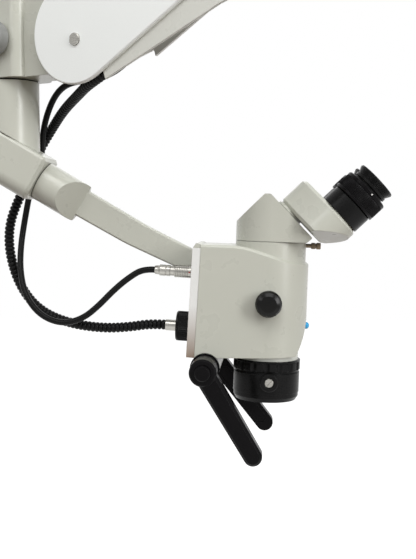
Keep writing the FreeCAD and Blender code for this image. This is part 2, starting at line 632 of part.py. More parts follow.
turned("swivel_washer", shift(TILT, "block_front", 0, 0, TO_FRONT),
       ring_profile("spindle_radius+run_gap", "drum_radius-0.6", "0.3", "0.9"))
spindle = turned("spindle_shaft", shift(TILT, 0, 0, 0, TO_FRONT),
       [("0", "-spindle_seat-nut_thick-2"), ("9", "-spindle_seat-nut_thick-2"), ("9", "-spindle_seat+0.5"),
        ("spindle_radius", "-spindle_seat+0.5"), ("spindle_radius", "block_front+0.9"),
        ("0", "block_front+0.9")], hidden=True)
nut = new_body("spindle_nut")
hexagon = [("nut_radius*cos(%d)" % angle, "nut_radius*sin(%d)" % angle) for angle in range(0, 360, 60)]
feature(nut, "Pad", outline(sketch(nut), hexagon), "nut_thick-0.3")
feature(nut, "Pocket", circle(sketch(nut), "0", "0", "9"), "nut_thick+1", back=True)
nut.Placement = shift(TILT, "-spindle_seat-nut_thick", 0, 0, TO_FRONT)
keep(combine("Compound", "swivel_spindle", spindle, nut), "swivel_spindle")

# Head body: side profile and rounded plan, with neck, cross boss and bays
profile = new_body("body_profile")
rear_top = "-body_rear+(body_low+body_high)*tan(plate_lean)"
side = outline(sketch(profile, "XZ_Plane"),
               [("-body_rear", "-body_low"), ("body_toe", "-body_low+toe_rise"), ("body_half", "-33", "90"),
                ("body_half", "shoulder_high"), ("23.3", "shoulder_high", "70"), ("-27.7", "body_high", "70"),
                (rear_top, "body_high")])
feature(profile, "Pad", side, "2*body_half+4", both=True)
profile.Placement = HEAD
plan_box = solid("Box", "plan_box", shift(HEAD, -100, "-body_half", -100), Length="100",
                 Width="2*body_half", Height="200")
plan_round = solid("Cylinder", "plan_round", shift(HEAD, 0, 0, -100), Radius="body_half", Height="200")
plan = combine("MultiFuse", "body_plan", plan_box, plan_round)
shell = combine("MultiCommon", "body_blank", profile, plan)
doc.recompute()
soft = doc.addObject("Part::Chamfer", "body_soft")
soft.Base = shell
head_up = HEAD.Rotation.multVec(UP)


def shoulder_edge(edge):
    """An edge between the top or bottom of the body and its side wall."""
    spot = HEAD.inverse().multVec(edge.valueAt((edge.FirstParameter + edge.LastParameter) / 2))
    rear_edge = spot.x < num(rear_top) + 1 or abs(spot.x + num("body_rear")) < 1
    high = spot.z > num("shoulder_high") - 1
    return high and not rear_edge


soft.Edges = [(index + 1, num("edge_round*0.7"), num("edge_round*0.7"))
              for index, edge in enumerate(shell.Shape.Edges) if shoulder_edge(edge)]
neck = solid("Cylinder", "neck", shift(HEAD, 0, 0, 0), Radius="neck_radius", Height="seam_high-0.4")
boss = solid("Cylinder", "cross_boss", shift(HEAD, "-boss_back", "-" + BOSS_HALF, "-boss_drop", TO_FAR),
             Radius="boss_radius", Height="2*" + BOSS_HALF)
outer = combine("MultiFuse", "body_outer", soft, neck, boss)
drum_bay = solid("Cylinder", "drum_bay_tool", shift(HEAD, 0, "-drum_bay_half", 0, TO_FAR),
                 Radius="drum_bay", Height="2*drum_bay_half")
rear_bay = solid("Box", "rear_bay", shift(HEAD, "-body_rear-10", "-body_half+6", "-body_low+8"),
                 Length="body_rear+10", Width="2*body_half-12", Height="body_low+body_high-16")
path = solid("Cylinder", "optical_path", shift(HEAD, 0, 0, "-body_low-1"), Radius="path_radius",
             Height="body_low+seam_high+1")
socket = solid("Cylinder", "binocular_socket", shift(HEAD, 0, 0, "seam_high-11"),
               Radius="neck_radius-7+run_gap", Height="14")
shaft_hole = solid("Cylinder", "shaft_hole", shift(HEAD, 0, "-body_half-1", 0, TO_FAR),
                   Radius="zoom_shaft+run_gap", Height="2*body_half+2")
axle_hole = solid("Cylinder", "axle_hole", shift(HEAD, "-boss_back", "-1-" + BOSS_HALF, "-boss_drop", TO_FAR),
                  Radius="axle_radius", Height="2*" + BOSS_HALF + "+2")
clamp_hole = solid("Cylinder", "clamp_hole", shift(HEAD, "neck_radius-12", 0, "seam_high-3.6", TO_FRONT),
                   Radius="2+run_gap", Height="16")
button_hole = solid("Cylinder", "button_hole", shift(HEAD, "body_half-9", 0, "-button_drop", TO_FRONT),
                    Radius="button_radius+run_gap", Height="14")
mount_bay = solid("Cylinder", "mount_bay", shift(HEAD, 0, 0, "-body_low-5"), Radius="mount_radius+run_gap",
                  Height="5+mount_sink")
hollows = combine("MultiFuse", "body_hollows", mount_bay, drum_bay, rear_bay, path, socket, shaft_hole, axle_hole,
                  clamp_hole, button_hole)
keep(combine("Cut", "head_body", outer, hollows), "head_body")

plate = new_body("head_plate")
feature(plate, "Pad", box_outline(sketch(plate, "XZ_Plane"), "-plate_thick", "0", "0", "plate_tall"),
        "2*body_half-1", both=True)
keep(plate, "head_plate", PLATE)
trim = new_body("plate_trim")
trim_side = outline(sketch(trim, "XZ_Plane"), [("-plate_thick+0.4", "plate_tall"), ("0", "plate_tall"),
                                              ("0", "plate_tall+trim_tall-1"), ("-2", "plate_tall+trim_tall"),
                                              ("-5", "plate_tall+trim_tall")])
feature(trim, "Pad", trim_side, "2*body_half-1.6", both=True)
keep(trim, "plate_trim", PLATE)
turned("blue_button", shift(HEAD, "body_half-7", 0, "-button_drop", TO_FRONT),
       [("0", "0"), ("button_radius", "0"), ("button_radius", "8"), ("button_radius-0.8", "9.2"),
        ("button_radius-2.2", "10"), ("0", "10")])

# Objective under the body
low = "-body_low-mount_thick"
turned("mount_ring", HEAD, [("path_radius", low + "-neck_long"), ("24", low + "-neck_long"), ("24", low),
                            ("mount_radius", low), ("mount_radius", "-body_low+mount_sink"),
                            ("path_radius", "-body_low+mount_sink")])
focus = turned("focus_ring", HEAD, ring_profile("24+run_gap", "focus_radius", low + "-rest_gap-focus_tall",
                                                low + "-rest_gap"))
groove = sketch(focus, "XY_Plane", low + "-rest_gap-focus_tall-1")
circle(groove, "focus_radius+lobe_radius*0.45", "0", "lobe_radius")
groove_cut = feature(focus, "Pocket", groove, "focus_tall+2", back=True)
repeat(focus, groove_cut, "lobes")
sleeve_top = low + "-2*rest_gap-focus_tall"
sleeve = turned("objective_sleeve", HEAD,
                [("cell_radius+run_gap", "-sleeve_low"), ("sleeve_radius-3", "-sleeve_low"),
                 ("sleeve_radius-0.6", "-sleeve_low+4"), ("sleeve_radius-0.6", "-sleeve_low+8"),
                 ("sleeve_radius", "-sleeve_low+8"), ("sleeve_radius", sleeve_top + "-2"),
                 ("sleeve_radius-2", sleeve_top + "-2"), ("sleeve_radius-2", sleeve_top), ("24", sleeve_top),
                 ("24", low + "-neck_long-1"), ("cell_radius+run_gap", low + "-neck_long-1")])
turned("lens_cell", HEAD, [("lens_radius", "-sleeve_low+2"), ("cell_radius", "-sleeve_low+2"),
                           ("cell_radius", low + "-neck_long-3"), ("lens_radius-3", low + "-neck_long-3"),
                           ("lens_radius-3", "-sleeve_low+9"), ("lens_radius", "-sleeve_low+9")])
turned("objective_lens", HEAD, [("0", "-sleeve_low+1.5"), ("lens_radius*0.5", "-sleeve_low+1.9"),
                                ("lens_radius", "-sleeve_low+3.5"), ("lens_radius", "-sleeve_low+8.9"),
                                ("0", "-sleeve_low+8.9")])
stud_seat = shift(HEAD, 0, 0, "-stud_drop", turn(UP, num("stud_turn")))
turned("sleeve_boss", shift(stud_seat, 0, "-sleeve_radius", 0, TO_NEAR),
       [("0", "0.1"), ("stud_radius", "0.1"), ("stud_radius", "2.4"), ("stud_radius-0.8", "3.2"),
        ("4.2", "3.2"), ("4.2", "4.4"), ("3.5", "5"), ("0", "5")])

# Magnification drum, its shaft and the two knobs
zoom_seat = shift(HEAD, 0, 0, 0, TO_NEAR)
zoom_parts = [turned("zoom_carrier", zoom_seat,
                     ring_profile("zoom_shaft", "drum_bay-1", "-zoom_half", "zoom_half"), hidden=True),
              turned("zoom_rod", zoom_seat,
                     [("0", "-8-" + KNOB_START), ("zoom_shaft", "-8-" + KNOB_START), ("zoom_shaft", KNOB_START + "+8"),
                      ("0", KNOB_START + "+8")], hidden=True)]
keep(combine("Compound", "zoom_drum", *zoom_parts), "zoom_drum")
for side, way in SIDES:
    seat = shift(HEAD, 0, ("%d*" % way) + KNOB_START, 0, TO_NEAR if way < 0 else TO_FAR)
    turned("zoom_knob_" + side, seat,
           [("zoom_shaft", "0"), ("knob_radius-1.5", "0"), ("knob_radius", "1.5"),
            ("knob_radius", "knob_long-5"), ("knob_radius-1.6", "knob_long-2"), ("knob_radius-5", "knob_long-0.4"),
            ("0", "knob_long"), ("0", "8.1"), ("zoom_shaft", "8.1")])

# Handles on the cross boss
TEETH = 12
flanges = []
for side, way in SIDES:
    flange = turned("handle_flange", HUB[side],
                    [("0", "16"), ("axle_radius", "16"), ("axle_radius", BOSS_HALF),
                     ("boss_radius+0.6", BOSS_HALF), ("boss_radius+0.6", BOSS_HALF + "+flange_thick"),
                     ("axle_radius", BOSS_HALF + "+flange_thick"), ("axle_radius", BOSS_HALF + "+24"),
                     ("0", BOSS_HALF + "+24")], hidden=True)
    notch = box_outline(sketch(flange, "XY_Plane", BOSS_HALF + "+flange_thick-1.6"), "boss_radius-2", "-0.8",
                        "boss_radius+2", "0.8")
    repeat(flange, feature(flange, "Pocket", notch, "2", back=True), str(TEETH))
    flanges.append(flange)
    hub_low = BOSS_HALF + "+flange_thick+rest_gap"
    hub_high = hub_low + "+hub_wide"
    lever = new_body("handle_" + side)
    arm_low = hub_high + "-arm_thick-2"
    grip = two_rounds(sketch(lever, "XY_Plane", arm_low), "handle_root", "handle_tip", "handle_long")
    feature(lever, "Pad", grip, "arm_thick")
    eased(lever, "2.5", lambda edge: edge.BoundBox.ZMax - edge.BoundBox.ZMin < 0.01
            and abs(edge.BoundBox.ZMin - num(arm_low)) > 0.1)
    feature(lever, "Pad", circle(sketch(lever, "XY_Plane", hub_low), "0", "0", "handle_hub"), "hub_wide")
    hub_top = num(hub_high)
    eased(lever, "1.5", lambda edge: edge.BoundBox.ZMin > hub_top - 0.01)
    feature(lever, "Pocket", circle(sketch(lever, "XY_Plane", hub_low), "0", "0", "axle_radius+run_gap"),
            "hub_wide", back=True)
    feature(lever, "Pocket", circle(sketch(lever, "XY_Plane", hub_high + "-7"), "0", "0", "cap_radius+run_gap"),
            "8", back=True)
    drop = num("handle_%s_drop" % side)
    keep(lever, "handle_" + side, shift(HUB[side], 0, 0, 0, turn(UP, way * drop)))
    turned("handle_button_" + side, shift(HUB[side], 0, 0, hub_high),
           [("0", "-7+cap_travel+0.4"), ("cap_radius", "-7+cap_travel+0.4"), ("cap_radius", "2.8"),
            ("cap_radius-1", "3.8"), ("0", "3.8")])
keep(combine("Compound", "handle_flanges", *flanges), "handle_flanges")

# Connectors on the rear plate
PORT = shift(PLATE, "-plate_thick", "port_side", "port_high", TO_REAR)
signal_socket = turned("signal_socket", PORT, ring_profile("plug_radius+0.1", "plug_radius+2", "0", "1.6"),
                       hidden=True)
turned("signal_plug", PORT, [("0", "0.2"), ("plug_radius", "0.2"), ("plug_radius", "17"), ("5", "17.4"),
                             ("5", "21.4"), ("5.6", "21.8"), ("5.6", "32"), ("4", "32.4"), ("4", "37"),
                             ("0", "37")])
GUIDE = shift(PLATE, "-plate_thick", 0, "guide_high", TO_REAR)
guide_port = turned("guide_port", GUIDE, ring_profile("6", "guide_radius", "0", "collar_long-4"), hidden=True)
keep(combine("Compound", "plate_ports", signal_socket, guide_port), "plate_ports")
turned("guide_collar", GUIDE, [("guide_radius+run_gap", "rest_gap"), ("collar_radius-0.8", "rest_gap"),
                               ("collar_radius", "1.2"), ("collar_radius", "collar_long-1"),
                               ("collar_radius-1", "collar_long"), ("ferrule_radius+run_gap", "collar_long"),
                               ("ferrule_radius+run_gap", "collar_long-2.5"),
                               ("guide_radius+run_gap", "collar_long-2.5")])
ferrule_end = "collar_long+ferrule_long"
turned("guide_ferrule", GUIDE, [("0", "2"), ("ferrule_radius", "2"), ("ferrule_radius", ferrule_end),
                                ("0", ferrule_end)])

# Binocular: roof housing, thumb screw, two prism housings with eyepieces
roof = new_body("roof_profile")
ridge = "-apex_back-ridge_wide"
left_foot = "apex_high-(neck_radius-apex_back-ridge_wide)"
lip_high = "apex_high-(lip_forward+apex_back)"
roof_side = outline(sketch(roof, "XZ_Plane"),
                    [("-neck_radius", "seam_high"), ("-neck_radius", left_foot),
                     (ridge, "apex_high", "2"), ("-apex_back", "apex_high", "2"), ("lip_forward", lip_high, "1.5"),
                     ("lip_forward-5.5", "seam_high")])
feature(roof, "Pad", roof_side, "2*neck_radius+2", both=True)
roof.Placement = HEAD
roof_round = solid("Cylinder", "roof_round", shift(HEAD, 0, 0, "seam_high-1"), Radius="neck_radius",
                   Height="70")
roof_front = solid("Box", "roof_front", shift(HEAD, 0, "-neck_radius", "seam_high-1"),
                   Length="lip_forward+5", Width="2*neck_radius", Height="70")
roof_plan = combine("MultiFuse", "roof_plan", roof_round, roof_front)
roof_blank = combine("MultiCommon", "roof_blank", roof, roof_plan)
spigot = solid("Cylinder", "roof_spigot", shift(HEAD, 0, 0, "seam_high-10.5"), Radius="neck_radius-7",
               Height="12")
roof_outer = combine("MultiFuse", "roof_outer", roof_blank, spigot)
disc_holes = [solid("Cylinder", "disc_hole", shift(DISC[side], 0, 0, -10), Radius="8+run_gap", Height="12")
              for side, way in SIDES]
roof_tool = combine("MultiFuse", "roof_tool", *disc_holes)
keep(combine("Cut", "binocular_roof", roof_outer, roof_tool), "binocular_roof")
turned("thumb_screw", shift(HEAD, "neck_radius-6.6", 0, "seam_high-3.6", TO_FRONT),
       [("0", "0"), ("2", "0"), ("2", "11.6"), ("screw_radius", "11.6"), ("screw_radius", "20.5"),
        ("screw_radius-0.6", "21.1"), ("0", "21.1")])
for side, way in SIDES:
    frame = PRISM[side]
    stub = turned("prism_stub", frame, [("0", "-9"), ("8", "-9"), ("8", "rest_gap"),
                                        ("disc_radius", "rest_gap"), ("disc_radius", "disc_thick"),
                                        ("disc_radius-1.5", "disc_thick"), ("disc_radius-1.5", "disc_thick+1"),
                                        ("0", "disc_thick+1")], hidden=True)
    prism = new_body("prism_block")
    start = "disc_thick+0.6"
    face = two_rounds(sketch(prism, "XY_Plane", start), "prism_top", "prism_low", "prism_reach")
    feature(prism, "Pad", face, "prism_thick")
    eased(prism, "edge_round", lambda edge: edge.BoundBox.ZMax - edge.BoundBox.ZMin < 0.01)
    cut_far = "prism_reach+prism_low+10"
    cut = outline(sketch(prism, "XZ_Plane"), [("prism_reach", start), (cut_far, start),
                                              (cut_far, start + "+prism_low+10")])
    feature(prism, "Pocket", cut, "4*prism_low", both=True)
    prism.Placement = frame
    keep(combine("MultiFuse", "prism_housing_" + side, stub, prism), "prism_housing_" + side)
    eye = shift(frame, "prism_reach", 0, start + "+prism_thick")
    tube_top = "tube_long"
    turned("eyepiece_tube_" + side, eye, ring_profile("15", "tube_radius", "0", "tube_long")[:2]
           + [("tube_radius", "tube_long-1"), ("tube_radius-1", "tube_long"), ("18", "tube_long"),
              ("18", "tube_long+ring_long-2"), ("15", "tube_long+ring_long-2")])
    ring_low, ring_high = "tube_long+rest_gap", "tube_long+ring_long"
    turned("eyepiece_ring_" + side, eye,
           [("18+run_gap", ring_low), ("ring_radius-0.6", ring_low), ("ring_radius", ring_low + "+0.6"),
            ("ring_radius", ring_high + "-1"), ("ring_radius-1", ring_high), ("18+run_gap", ring_high)])
    cup_end = "tube_long+ring_long+cup_long"
    turned("eyecup_" + side, eye,
           [("14.5", ring_high), ("17.6", ring_high), ("17.6", ring_high + "+2"), ("18.6", ring_high + "+2.4"),
            ("18.6", ring_high + "+5"), ("17.4", ring_high + "+5.6"), ("cup_radius", cup_end + "-1.5"),
            ("cup_radius-0.6", cup_end), ("cup_radius-2", cup_end), ("14.5", cup_end + "-8")])
    turned("eye_lens_" + side, eye, [("0", "tube_long+ring_long-9"), ("14.4", "tube_long+ring_long-9"),
                                     ("14.4", "tube_long+ring_long-3"), ("8", "tube_long+ring_long-1.2"),
                                     ("0", "tube_long+ring_long-0.6")])

# Leads: straight runs joined by tangent arcs, points in the frame of the column
CLIP_LEAN = 22.3
HOSE_HIGH = 14.3
LEAD_HIGH = 4.7
LEAD_ASIDE = 9
CLIP = shift(LOWER, 8, "block_wide/2", -88, turn(V(0, 1, 0), CLIP_LEAN))


def beside(frame, across, side, along):
    """A point of another frame, in the frame of the column."""
    return tuple(LOWER.inverse().multVec(frame.multVec(V(across, side, along))))


GUIDE_EXIT = [beside(GUIDE, 0, 0, num(ferrule_end) + step) for step in (0, 15)]
PLUG_EXIT = [beside(PORT, 0, 0, 37 + step) for step in (0, 12)]
LOW_HOSE = GUIDE_EXIT + [(118, 1, -247.5), (93, 2, -249), (62, 6, -246), (35, 12, -238.5), (15, 18, -226),
                         (0.5, 24, -208), (-9, 29, -187), (-14, 33, -164), (-13.5, 37, -142),
                         (-7, 40.5, -122)]
LOW_HOSE += [beside(CLIP, 0, HOSE_HIGH, along) for along in (-18, -0.2)]
LOW_LEAD = PLUG_EXIT + [(119, -6, -197), (104, -7.5, -209.5), (89, -7.5, -225), (73, -6, -238), (54, -3, -244),
                        (36, 1, -241), (21, 3, -231), (9, 7, -214), (2, 17, -190), (0, 29, -166),
                        (2, 35, -144), (6, 34.5, -124)]
LOW_LEAD += [beside(CLIP, LEAD_ASIDE, LEAD_HIGH, along) for along in (-17, -0.2)]
HIGH_HOSE = [beside(CLIP, 0, HOSE_HIGH, along) for along in (0.2, 16)]
HIGH_HOSE += [(21.5, 41.5, -60), (29.5, 38, -48.5), (38, 29.5, -39), (47, 17, -31), (57, 2, -24.5),
              (67, -13, -19.5), (76, -29.5, -16), (85.5, -46, -12), (96.5, -60, -8), (109, -69, -2),
              (120.5, -75, 7), (131, -80, 19)]
HIGH_LEAD = [beside(CLIP, LEAD_ASIDE, LEAD_HIGH, along) for along in (0.2, 16)]
HIGH_LEAD += [(23, 31.6, -62), (25, 29, -48.5), (29, 23.5, -36.5), (35, 15, -25.5), (43, 4, -15.5),
              (53, -9, -8.5), (65, -22, -5), (79, -33.5, -4.6), (94, -44, -4.2), (108.5, -52.5, -2),
              (121.5, -59.5, 4), (132.5, -65, 13.5), (141, -69, 25.5)]
clip = new_body("lead_clip")
clip_face = box_outline(sketch(clip, "XY_Plane", "-4"), "-8", "0", "14.5", "22", "2.5")
feature(clip, "Pad", clip_face, "8")
clip_holes = sketch(clip, "XY_Plane", "-5")
circle(clip_holes, "0", str(HOSE_HIGH), "hose_radius+0.5")
circle(clip_holes, str(LEAD_ASIDE), str(LEAD_HIGH), "lead_radius+0.5")
feature(clip, "Pocket", clip_holes, "10", back=True)
keep(clip, "lead_clip", CLIP)


def tube(name, points, size):
    """Straight runs joined by the largest tangent arcs that the runs allow."""
    radius = num(size)
    corners = [LOWER.multVec(V(*point)) for point in points]
    here, solids, radii, length = corners[0], [], [], 0
    for before, point, after in zip(corners, corners[1:], corners[2:]):
        into, out = point - before, after - point
        bend = into.getAngle(out)
        reach = 0.45 * min(into.Length, out.Length)
        bow = reach / math.tan(bend / 2)
        into.normalize()
        out.normalize()
        start = point - into * reach
        solids.append(Part.makeCylinder(radius, (start - here).Length, here, into))
        pole = into.cross(out).normalize()
        disc = Part.Face(Part.Wire(Part.makeCircle(radius, start, into)))
        solids.append(disc.revolve(start + pole.cross(into) * bow, pole, math.degrees(bend)))
        radii.append(round(bow))
        length += (start - here).Length + bow * bend
        here = point + out * reach
    last = corners[-1] - here
    solids.append(Part.makeCylinder(radius, last.Length, here, last))
    length += last.Length
    shape = solids[0].fuse(solids[1:])
    made = doc.addObject("Part::Feature", name)
    made.Shape = shape.Solids[0]
    keep(made, name)
    ideal = math.pi * radius ** 2 * length
    print("%s: length %.1f, bend radii %s, solids %d, volume ratio %.4f"
          % (name, length, radii, len(shape.Solids), shape.Volume / ideal))


tube("hose_low", LOW_HOSE, "hose_radius")
tube("hose_high", HIGH_HOSE, "hose_radius")
tube("lead_low", LOW_LEAD, "lead_radius")
tube("lead_high", HIGH_LEAD, "lead_radius")

doc.recompute()
for thing in doc.Objects:
    if "Invalid" in thing.State or "Error" in thing.State:
        raise RuntimeError("%s failed: %s" % (thing.Label, thing.State))
for piece in pieces:
    if piece.Shape.isNull() or not piece.Shape.isValid() or piece.Shape.Volume < 1:
        raise RuntimeError("%s has no valid shape" % piece.Label)
os.makedirs("parts", exist_ok=True)
for piece in pieces:
    piece.Shape.exportStep("parts/%s.step" % piece.Label)
print("%d sub-parts written" % len(pieces))
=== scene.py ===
"""Looks of the operating microscope: cords, small detail, materials, light and camera."""
import json
import math

import bmesh
import bpy
from mathutils import Matrix, Vector

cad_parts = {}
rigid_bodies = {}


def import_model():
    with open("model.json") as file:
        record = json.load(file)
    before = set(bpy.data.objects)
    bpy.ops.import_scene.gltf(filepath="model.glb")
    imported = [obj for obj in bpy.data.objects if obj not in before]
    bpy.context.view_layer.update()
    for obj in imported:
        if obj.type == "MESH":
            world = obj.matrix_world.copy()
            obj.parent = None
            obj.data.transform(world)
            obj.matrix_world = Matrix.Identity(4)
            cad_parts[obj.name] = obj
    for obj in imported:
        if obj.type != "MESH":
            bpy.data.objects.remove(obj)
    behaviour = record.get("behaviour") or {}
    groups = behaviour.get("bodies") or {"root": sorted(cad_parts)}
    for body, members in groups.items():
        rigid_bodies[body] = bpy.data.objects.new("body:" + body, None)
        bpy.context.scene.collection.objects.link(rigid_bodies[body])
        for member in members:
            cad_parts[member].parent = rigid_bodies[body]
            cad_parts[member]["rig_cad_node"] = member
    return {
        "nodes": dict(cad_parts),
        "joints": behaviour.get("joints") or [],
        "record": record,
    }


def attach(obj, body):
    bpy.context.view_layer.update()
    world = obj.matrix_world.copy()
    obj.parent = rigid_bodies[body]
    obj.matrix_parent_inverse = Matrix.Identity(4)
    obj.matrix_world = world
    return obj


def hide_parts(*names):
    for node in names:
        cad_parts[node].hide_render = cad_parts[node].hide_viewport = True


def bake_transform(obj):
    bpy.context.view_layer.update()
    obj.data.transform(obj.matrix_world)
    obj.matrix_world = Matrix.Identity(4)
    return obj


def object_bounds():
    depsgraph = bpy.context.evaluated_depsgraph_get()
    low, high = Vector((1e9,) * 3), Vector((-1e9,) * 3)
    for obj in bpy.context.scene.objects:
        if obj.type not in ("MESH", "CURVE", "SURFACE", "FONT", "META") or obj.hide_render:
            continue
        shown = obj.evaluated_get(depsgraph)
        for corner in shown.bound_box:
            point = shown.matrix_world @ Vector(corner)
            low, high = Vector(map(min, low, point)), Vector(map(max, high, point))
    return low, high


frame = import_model()
cad_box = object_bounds()
nodes = frame["nodes"]
joints = {joint["name"]: joint for joint in frame["joints"]}
scene = bpy.context.scene
MM = 0.001


# Places, all read from the joints of the frame
def place_of(name):
    return Vector(joints[name]["pos_m"])


def axis_of(name):
    return Vector(joints[name]["axis"]).normalized()


def seat(origin, up, ahead):
    """A matrix at origin with Z along up and X as near to ahead as it can be."""
    rise = Vector(up).normalized()
    side = rise.cross(Vector(ahead)).normalized()
    front = side.cross(rise)
    turned = Matrix((front, side, rise)).transposed().to_4x4()
    return Matrix.Translation(origin) @ turned


COLUMN = Matrix.Translation(place_of("column_swivel"))
HEAD = seat(place_of("zoom_turn"), axis_of("focus_turn"), (1, 0, 0))
GUIDE = seat(place_of("collar_turn"), axis_of("collar_turn"), (0, 0, 1))
EYE_STEP = -0.4
EYE = {side: seat(place_of("diopter_" + side), axis_of("diopter_" + side), (0, -1, 0))
       @ Matrix.Translation((0, 0, EYE_STEP * MM)) for side in ("near", "far")}
HEAD_AHEAD = HEAD.col[0].to_3d()
HUB = {"near": seat(place_of("handle_turn_near"), (0, -1, 0), HEAD_AHEAD),
       "far": seat(place_of("handle_turn_far"), (0, 1, 0), HEAD_AHEAD)}
FRONT_PIVOT = place_of("yoke_level")
ARM_ALONG = (place_of("arm_lift") - FRONT_PIVOT).normalized()
ARM_ACROSS = axis_of("arm_lift")


def column_point(x, y, z):
    """A point given in millimetres from the lower end of the knuckle, on the column axis."""
    return COLUMN @ Vector((x * MM, y * MM, z * MM))


# Camera, at the photograph's place beside the head
CAMERA_AT = (265.3, -951.8, -135.0)
CAMERA_YAW = math.radians(4.0)
CAMERA_PITCH = math.radians(-3.82)
CAMERA_LENS = 61.2
camera_data = bpy.data.cameras.new("camera")
camera_data.lens = CAMERA_LENS
camera_data.sensor_fit = "VERTICAL"
camera_data.sensor_height = 36
camera_data.clip_end = 100
camera = bpy.data.objects.new("camera", camera_data)
camera.location = column_point(*CAMERA_AT)
camera.rotation_euler = (math.pi / 2 + CAMERA_PITCH, 0, CAMERA_YAW)
scene.collection.objects.link(camera)
scene.camera = camera


# Mesh helpers
def mesh_object(name, mesh, body=None):
    made = bpy.data.objects.new(name, mesh)
    scene.collection.objects.link(made)
    if body:
        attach(made, body)
    return made


SHARP_ANGLE = math.radians(34)


def skin(name, *shells, capped=True, looped=False):
    """One mesh from skins over rows of points, where every row of a skin has as many points."""
    mesh = bpy.data.meshes.new(name)
    built = bmesh.new()
    for rows in shells:
        made = [[built.verts.new(point) for point in row] for row in rows]
        count = len(rows[0])
        after_last = made[1:] + made[:1] if looped else made[1:]
        for low, high in zip(made, after_last):
            for index in range(count):
                after = (index + 1) % count
                built.faces.new((low[index], low[after], high[after], high[index]))
        if capped and not looped:
            built.faces.new(list(reversed(made[0])))
            built.faces.new(made[-1])
    bmesh.ops.recalc_face_normals(built, faces=built.faces)
    built.to_mesh(mesh)
    built.free()
    for face in mesh.polygons:
        face.use_smooth = True
    mesh.set_sharp_from_angle(angle=SHARP_ANGLE)
    return mesh


def ring_rows(place, profile, segments, wobble=None):
    """Rows of a turned shape about the Z of place, profile in (radius, height) millimetres."""
    rows = []
    for radius, height in profile:
        row = []
        for index in range(segments):
            angle = 2 * math.pi * index / segments
            reach = radius + (wobble(angle, radius, height) if wobble else 0)
            row.append(place @ Vector((reach * MM * math.cos(angle), reach * MM * math.sin(angle),
                                       height * MM)))
        rows.append(row)
    return rows


def turned(name, place, profile, body, segments=64, wobble=None, looped=False):
    """A turned piece; a looped profile closes on itself, as round a bore."""
    return mesh_object(name, skin(name, ring_rows(place, profile, segments, wobble), looped=looped), body)


def knurl(teeth, depth, low, high, inside=0):
    """Ridges along the axis between two heights, on what lies further out than inside."""
    def wobble(angle, radius, height):
        if radius < inside or not low <= height <= high:
            return 0
        return depth * (math.cos(teeth * angle) - 1) / 2
    return wobble


# Materials
def linear(red, green, blue):
    """A colour as it is seen on screen, 0 to 255, as the shader wants it."""
    def channel(value):
        value = value / 255
        return value / 12.92 if value <= 0.04045 else ((value + 0.055) / 1.055) ** 2.4
    return (channel(red), channel(green), channel(blue), 1)


class Shader:
    """A node material with short calls for its parts."""

    def __init__(self, name):
        self.material = bpy.data.materials.new(name)
        self.material.use_nodes = True
        self.nodes = self.material.node_tree.nodes
        self.links = self.material.node_tree.links
        self.surface = self.nodes["Principled BSDF"]
        self.coordinates = self.add("ShaderNodeTexCoord").outputs["Object"]

    def add(self, kind, **settings):
        node = self.nodes.new(kind)
        for key, value in settings.items():
            setattr(node, key, value)
        return node

    def join(self, output, target):
        self.links.new(output, target)

    def fixed(self, **values):
        for key, value in values.items():
            self.surface.inputs[key.replace("_", " ")].default_value = value

    def stretched(self, scale):
        mapping = self.add("ShaderNodeMapping")
        mapping.inputs["Scale"].default_value = scale
        self.join(self.coordinates, mapping.inputs["Vector"])
        return mapping.outputs["Vector"]

    def noise(self, scale, detail=2.0, vector=None, rough=0.5):
        node = self.add("ShaderNodeTexNoise")
        node.inputs["Scale"].default_value = scale
        node.inputs["Detail"].default_value = detail
        node.inputs["Roughness"].default_value = rough
        self.join(vector or self.coordinates, node.inputs["Vector"])
        return node.outputs["Fac"]

    def between(self, factor, low, high, start=0.3, end=0.7):
        """A number that runs from low to high as factor runs from start to end."""
        node = self.add("ShaderNodeMapRange")
        for key, value in (("From Min", start), ("From Max", end), ("To Min", low), ("To Max", high)):
            node.inputs[key].default_value = value
        self.join(factor, node.inputs["Value"])
        return node.outputs["Result"]

    def blend(self, factor, first, second):
        """A colour between two, each a colour or an output."""
        node = self.add("ShaderNodeMix", data_type="RGBA")
        self.join(factor, node.inputs["Factor"])
        for value, socket in ((first, node.inputs[6]), (second, node.inputs[7])):
            if isinstance(value, tuple):
                socket.default_value = value
            else:
                self.join(value, socket)
        return node.outputs[2]

    def math(self, operation, first, second=None):
        node = self.add("ShaderNodeMath", operation=operation)
        for value, socket in ((first, node.inputs[0]), (second, node.inputs[1])):
            if isinstance(value, (int, float)):
                socket.default_value = value
            elif value is not None:
                self.join(value, socket)
        return node.outputs[0]

    def bump(self, height, distance, strength=1.0, normal=None):
        node = self.add("ShaderNodeBump")
        node.inputs["Strength"].default_value = strength
        node.inputs["Distance"].default_value = distance
        self.join(height, node.inputs["Height"])
        if normal is not None:
            self.join(normal, node.inputs["Normal"])
        return node.outputs["Normal"]

    def soft_edges(self, radius):
        node = self.add("ShaderNodeBevel", samples=4)
        node.inputs["Radius"].default_value = radius
        return node.outputs["Normal"]

    def edge_mask(self, rounded, low=0.02, high=0.3):
        """1 near sharp edges and 0 on flat faces."""
        geometry = self.add("ShaderNodeNewGeometry")
        product = self.add("ShaderNodeVectorMath", operation="DOT_PRODUCT")
        self.join(rounded, product.inputs[0])
        self.join(geometry.outputs["Normal"], product.inputs[1])
        return self.between(self.math("SUBTRACT", 1.0, product.outputs["Value"]), 0, 1, low, high)

    def finish(self, colour, rough, normal):
        for value, socket in ((colour, "Base Color"), (rough, "Roughness")):
            if isinstance(value, (tuple, float, int)):
                self.surface.inputs[socket].default_value = value
            else:
                self.join(value, self.surface.inputs[socket])
        self.join(normal, self.surface.inputs["Normal"])
        return self.material


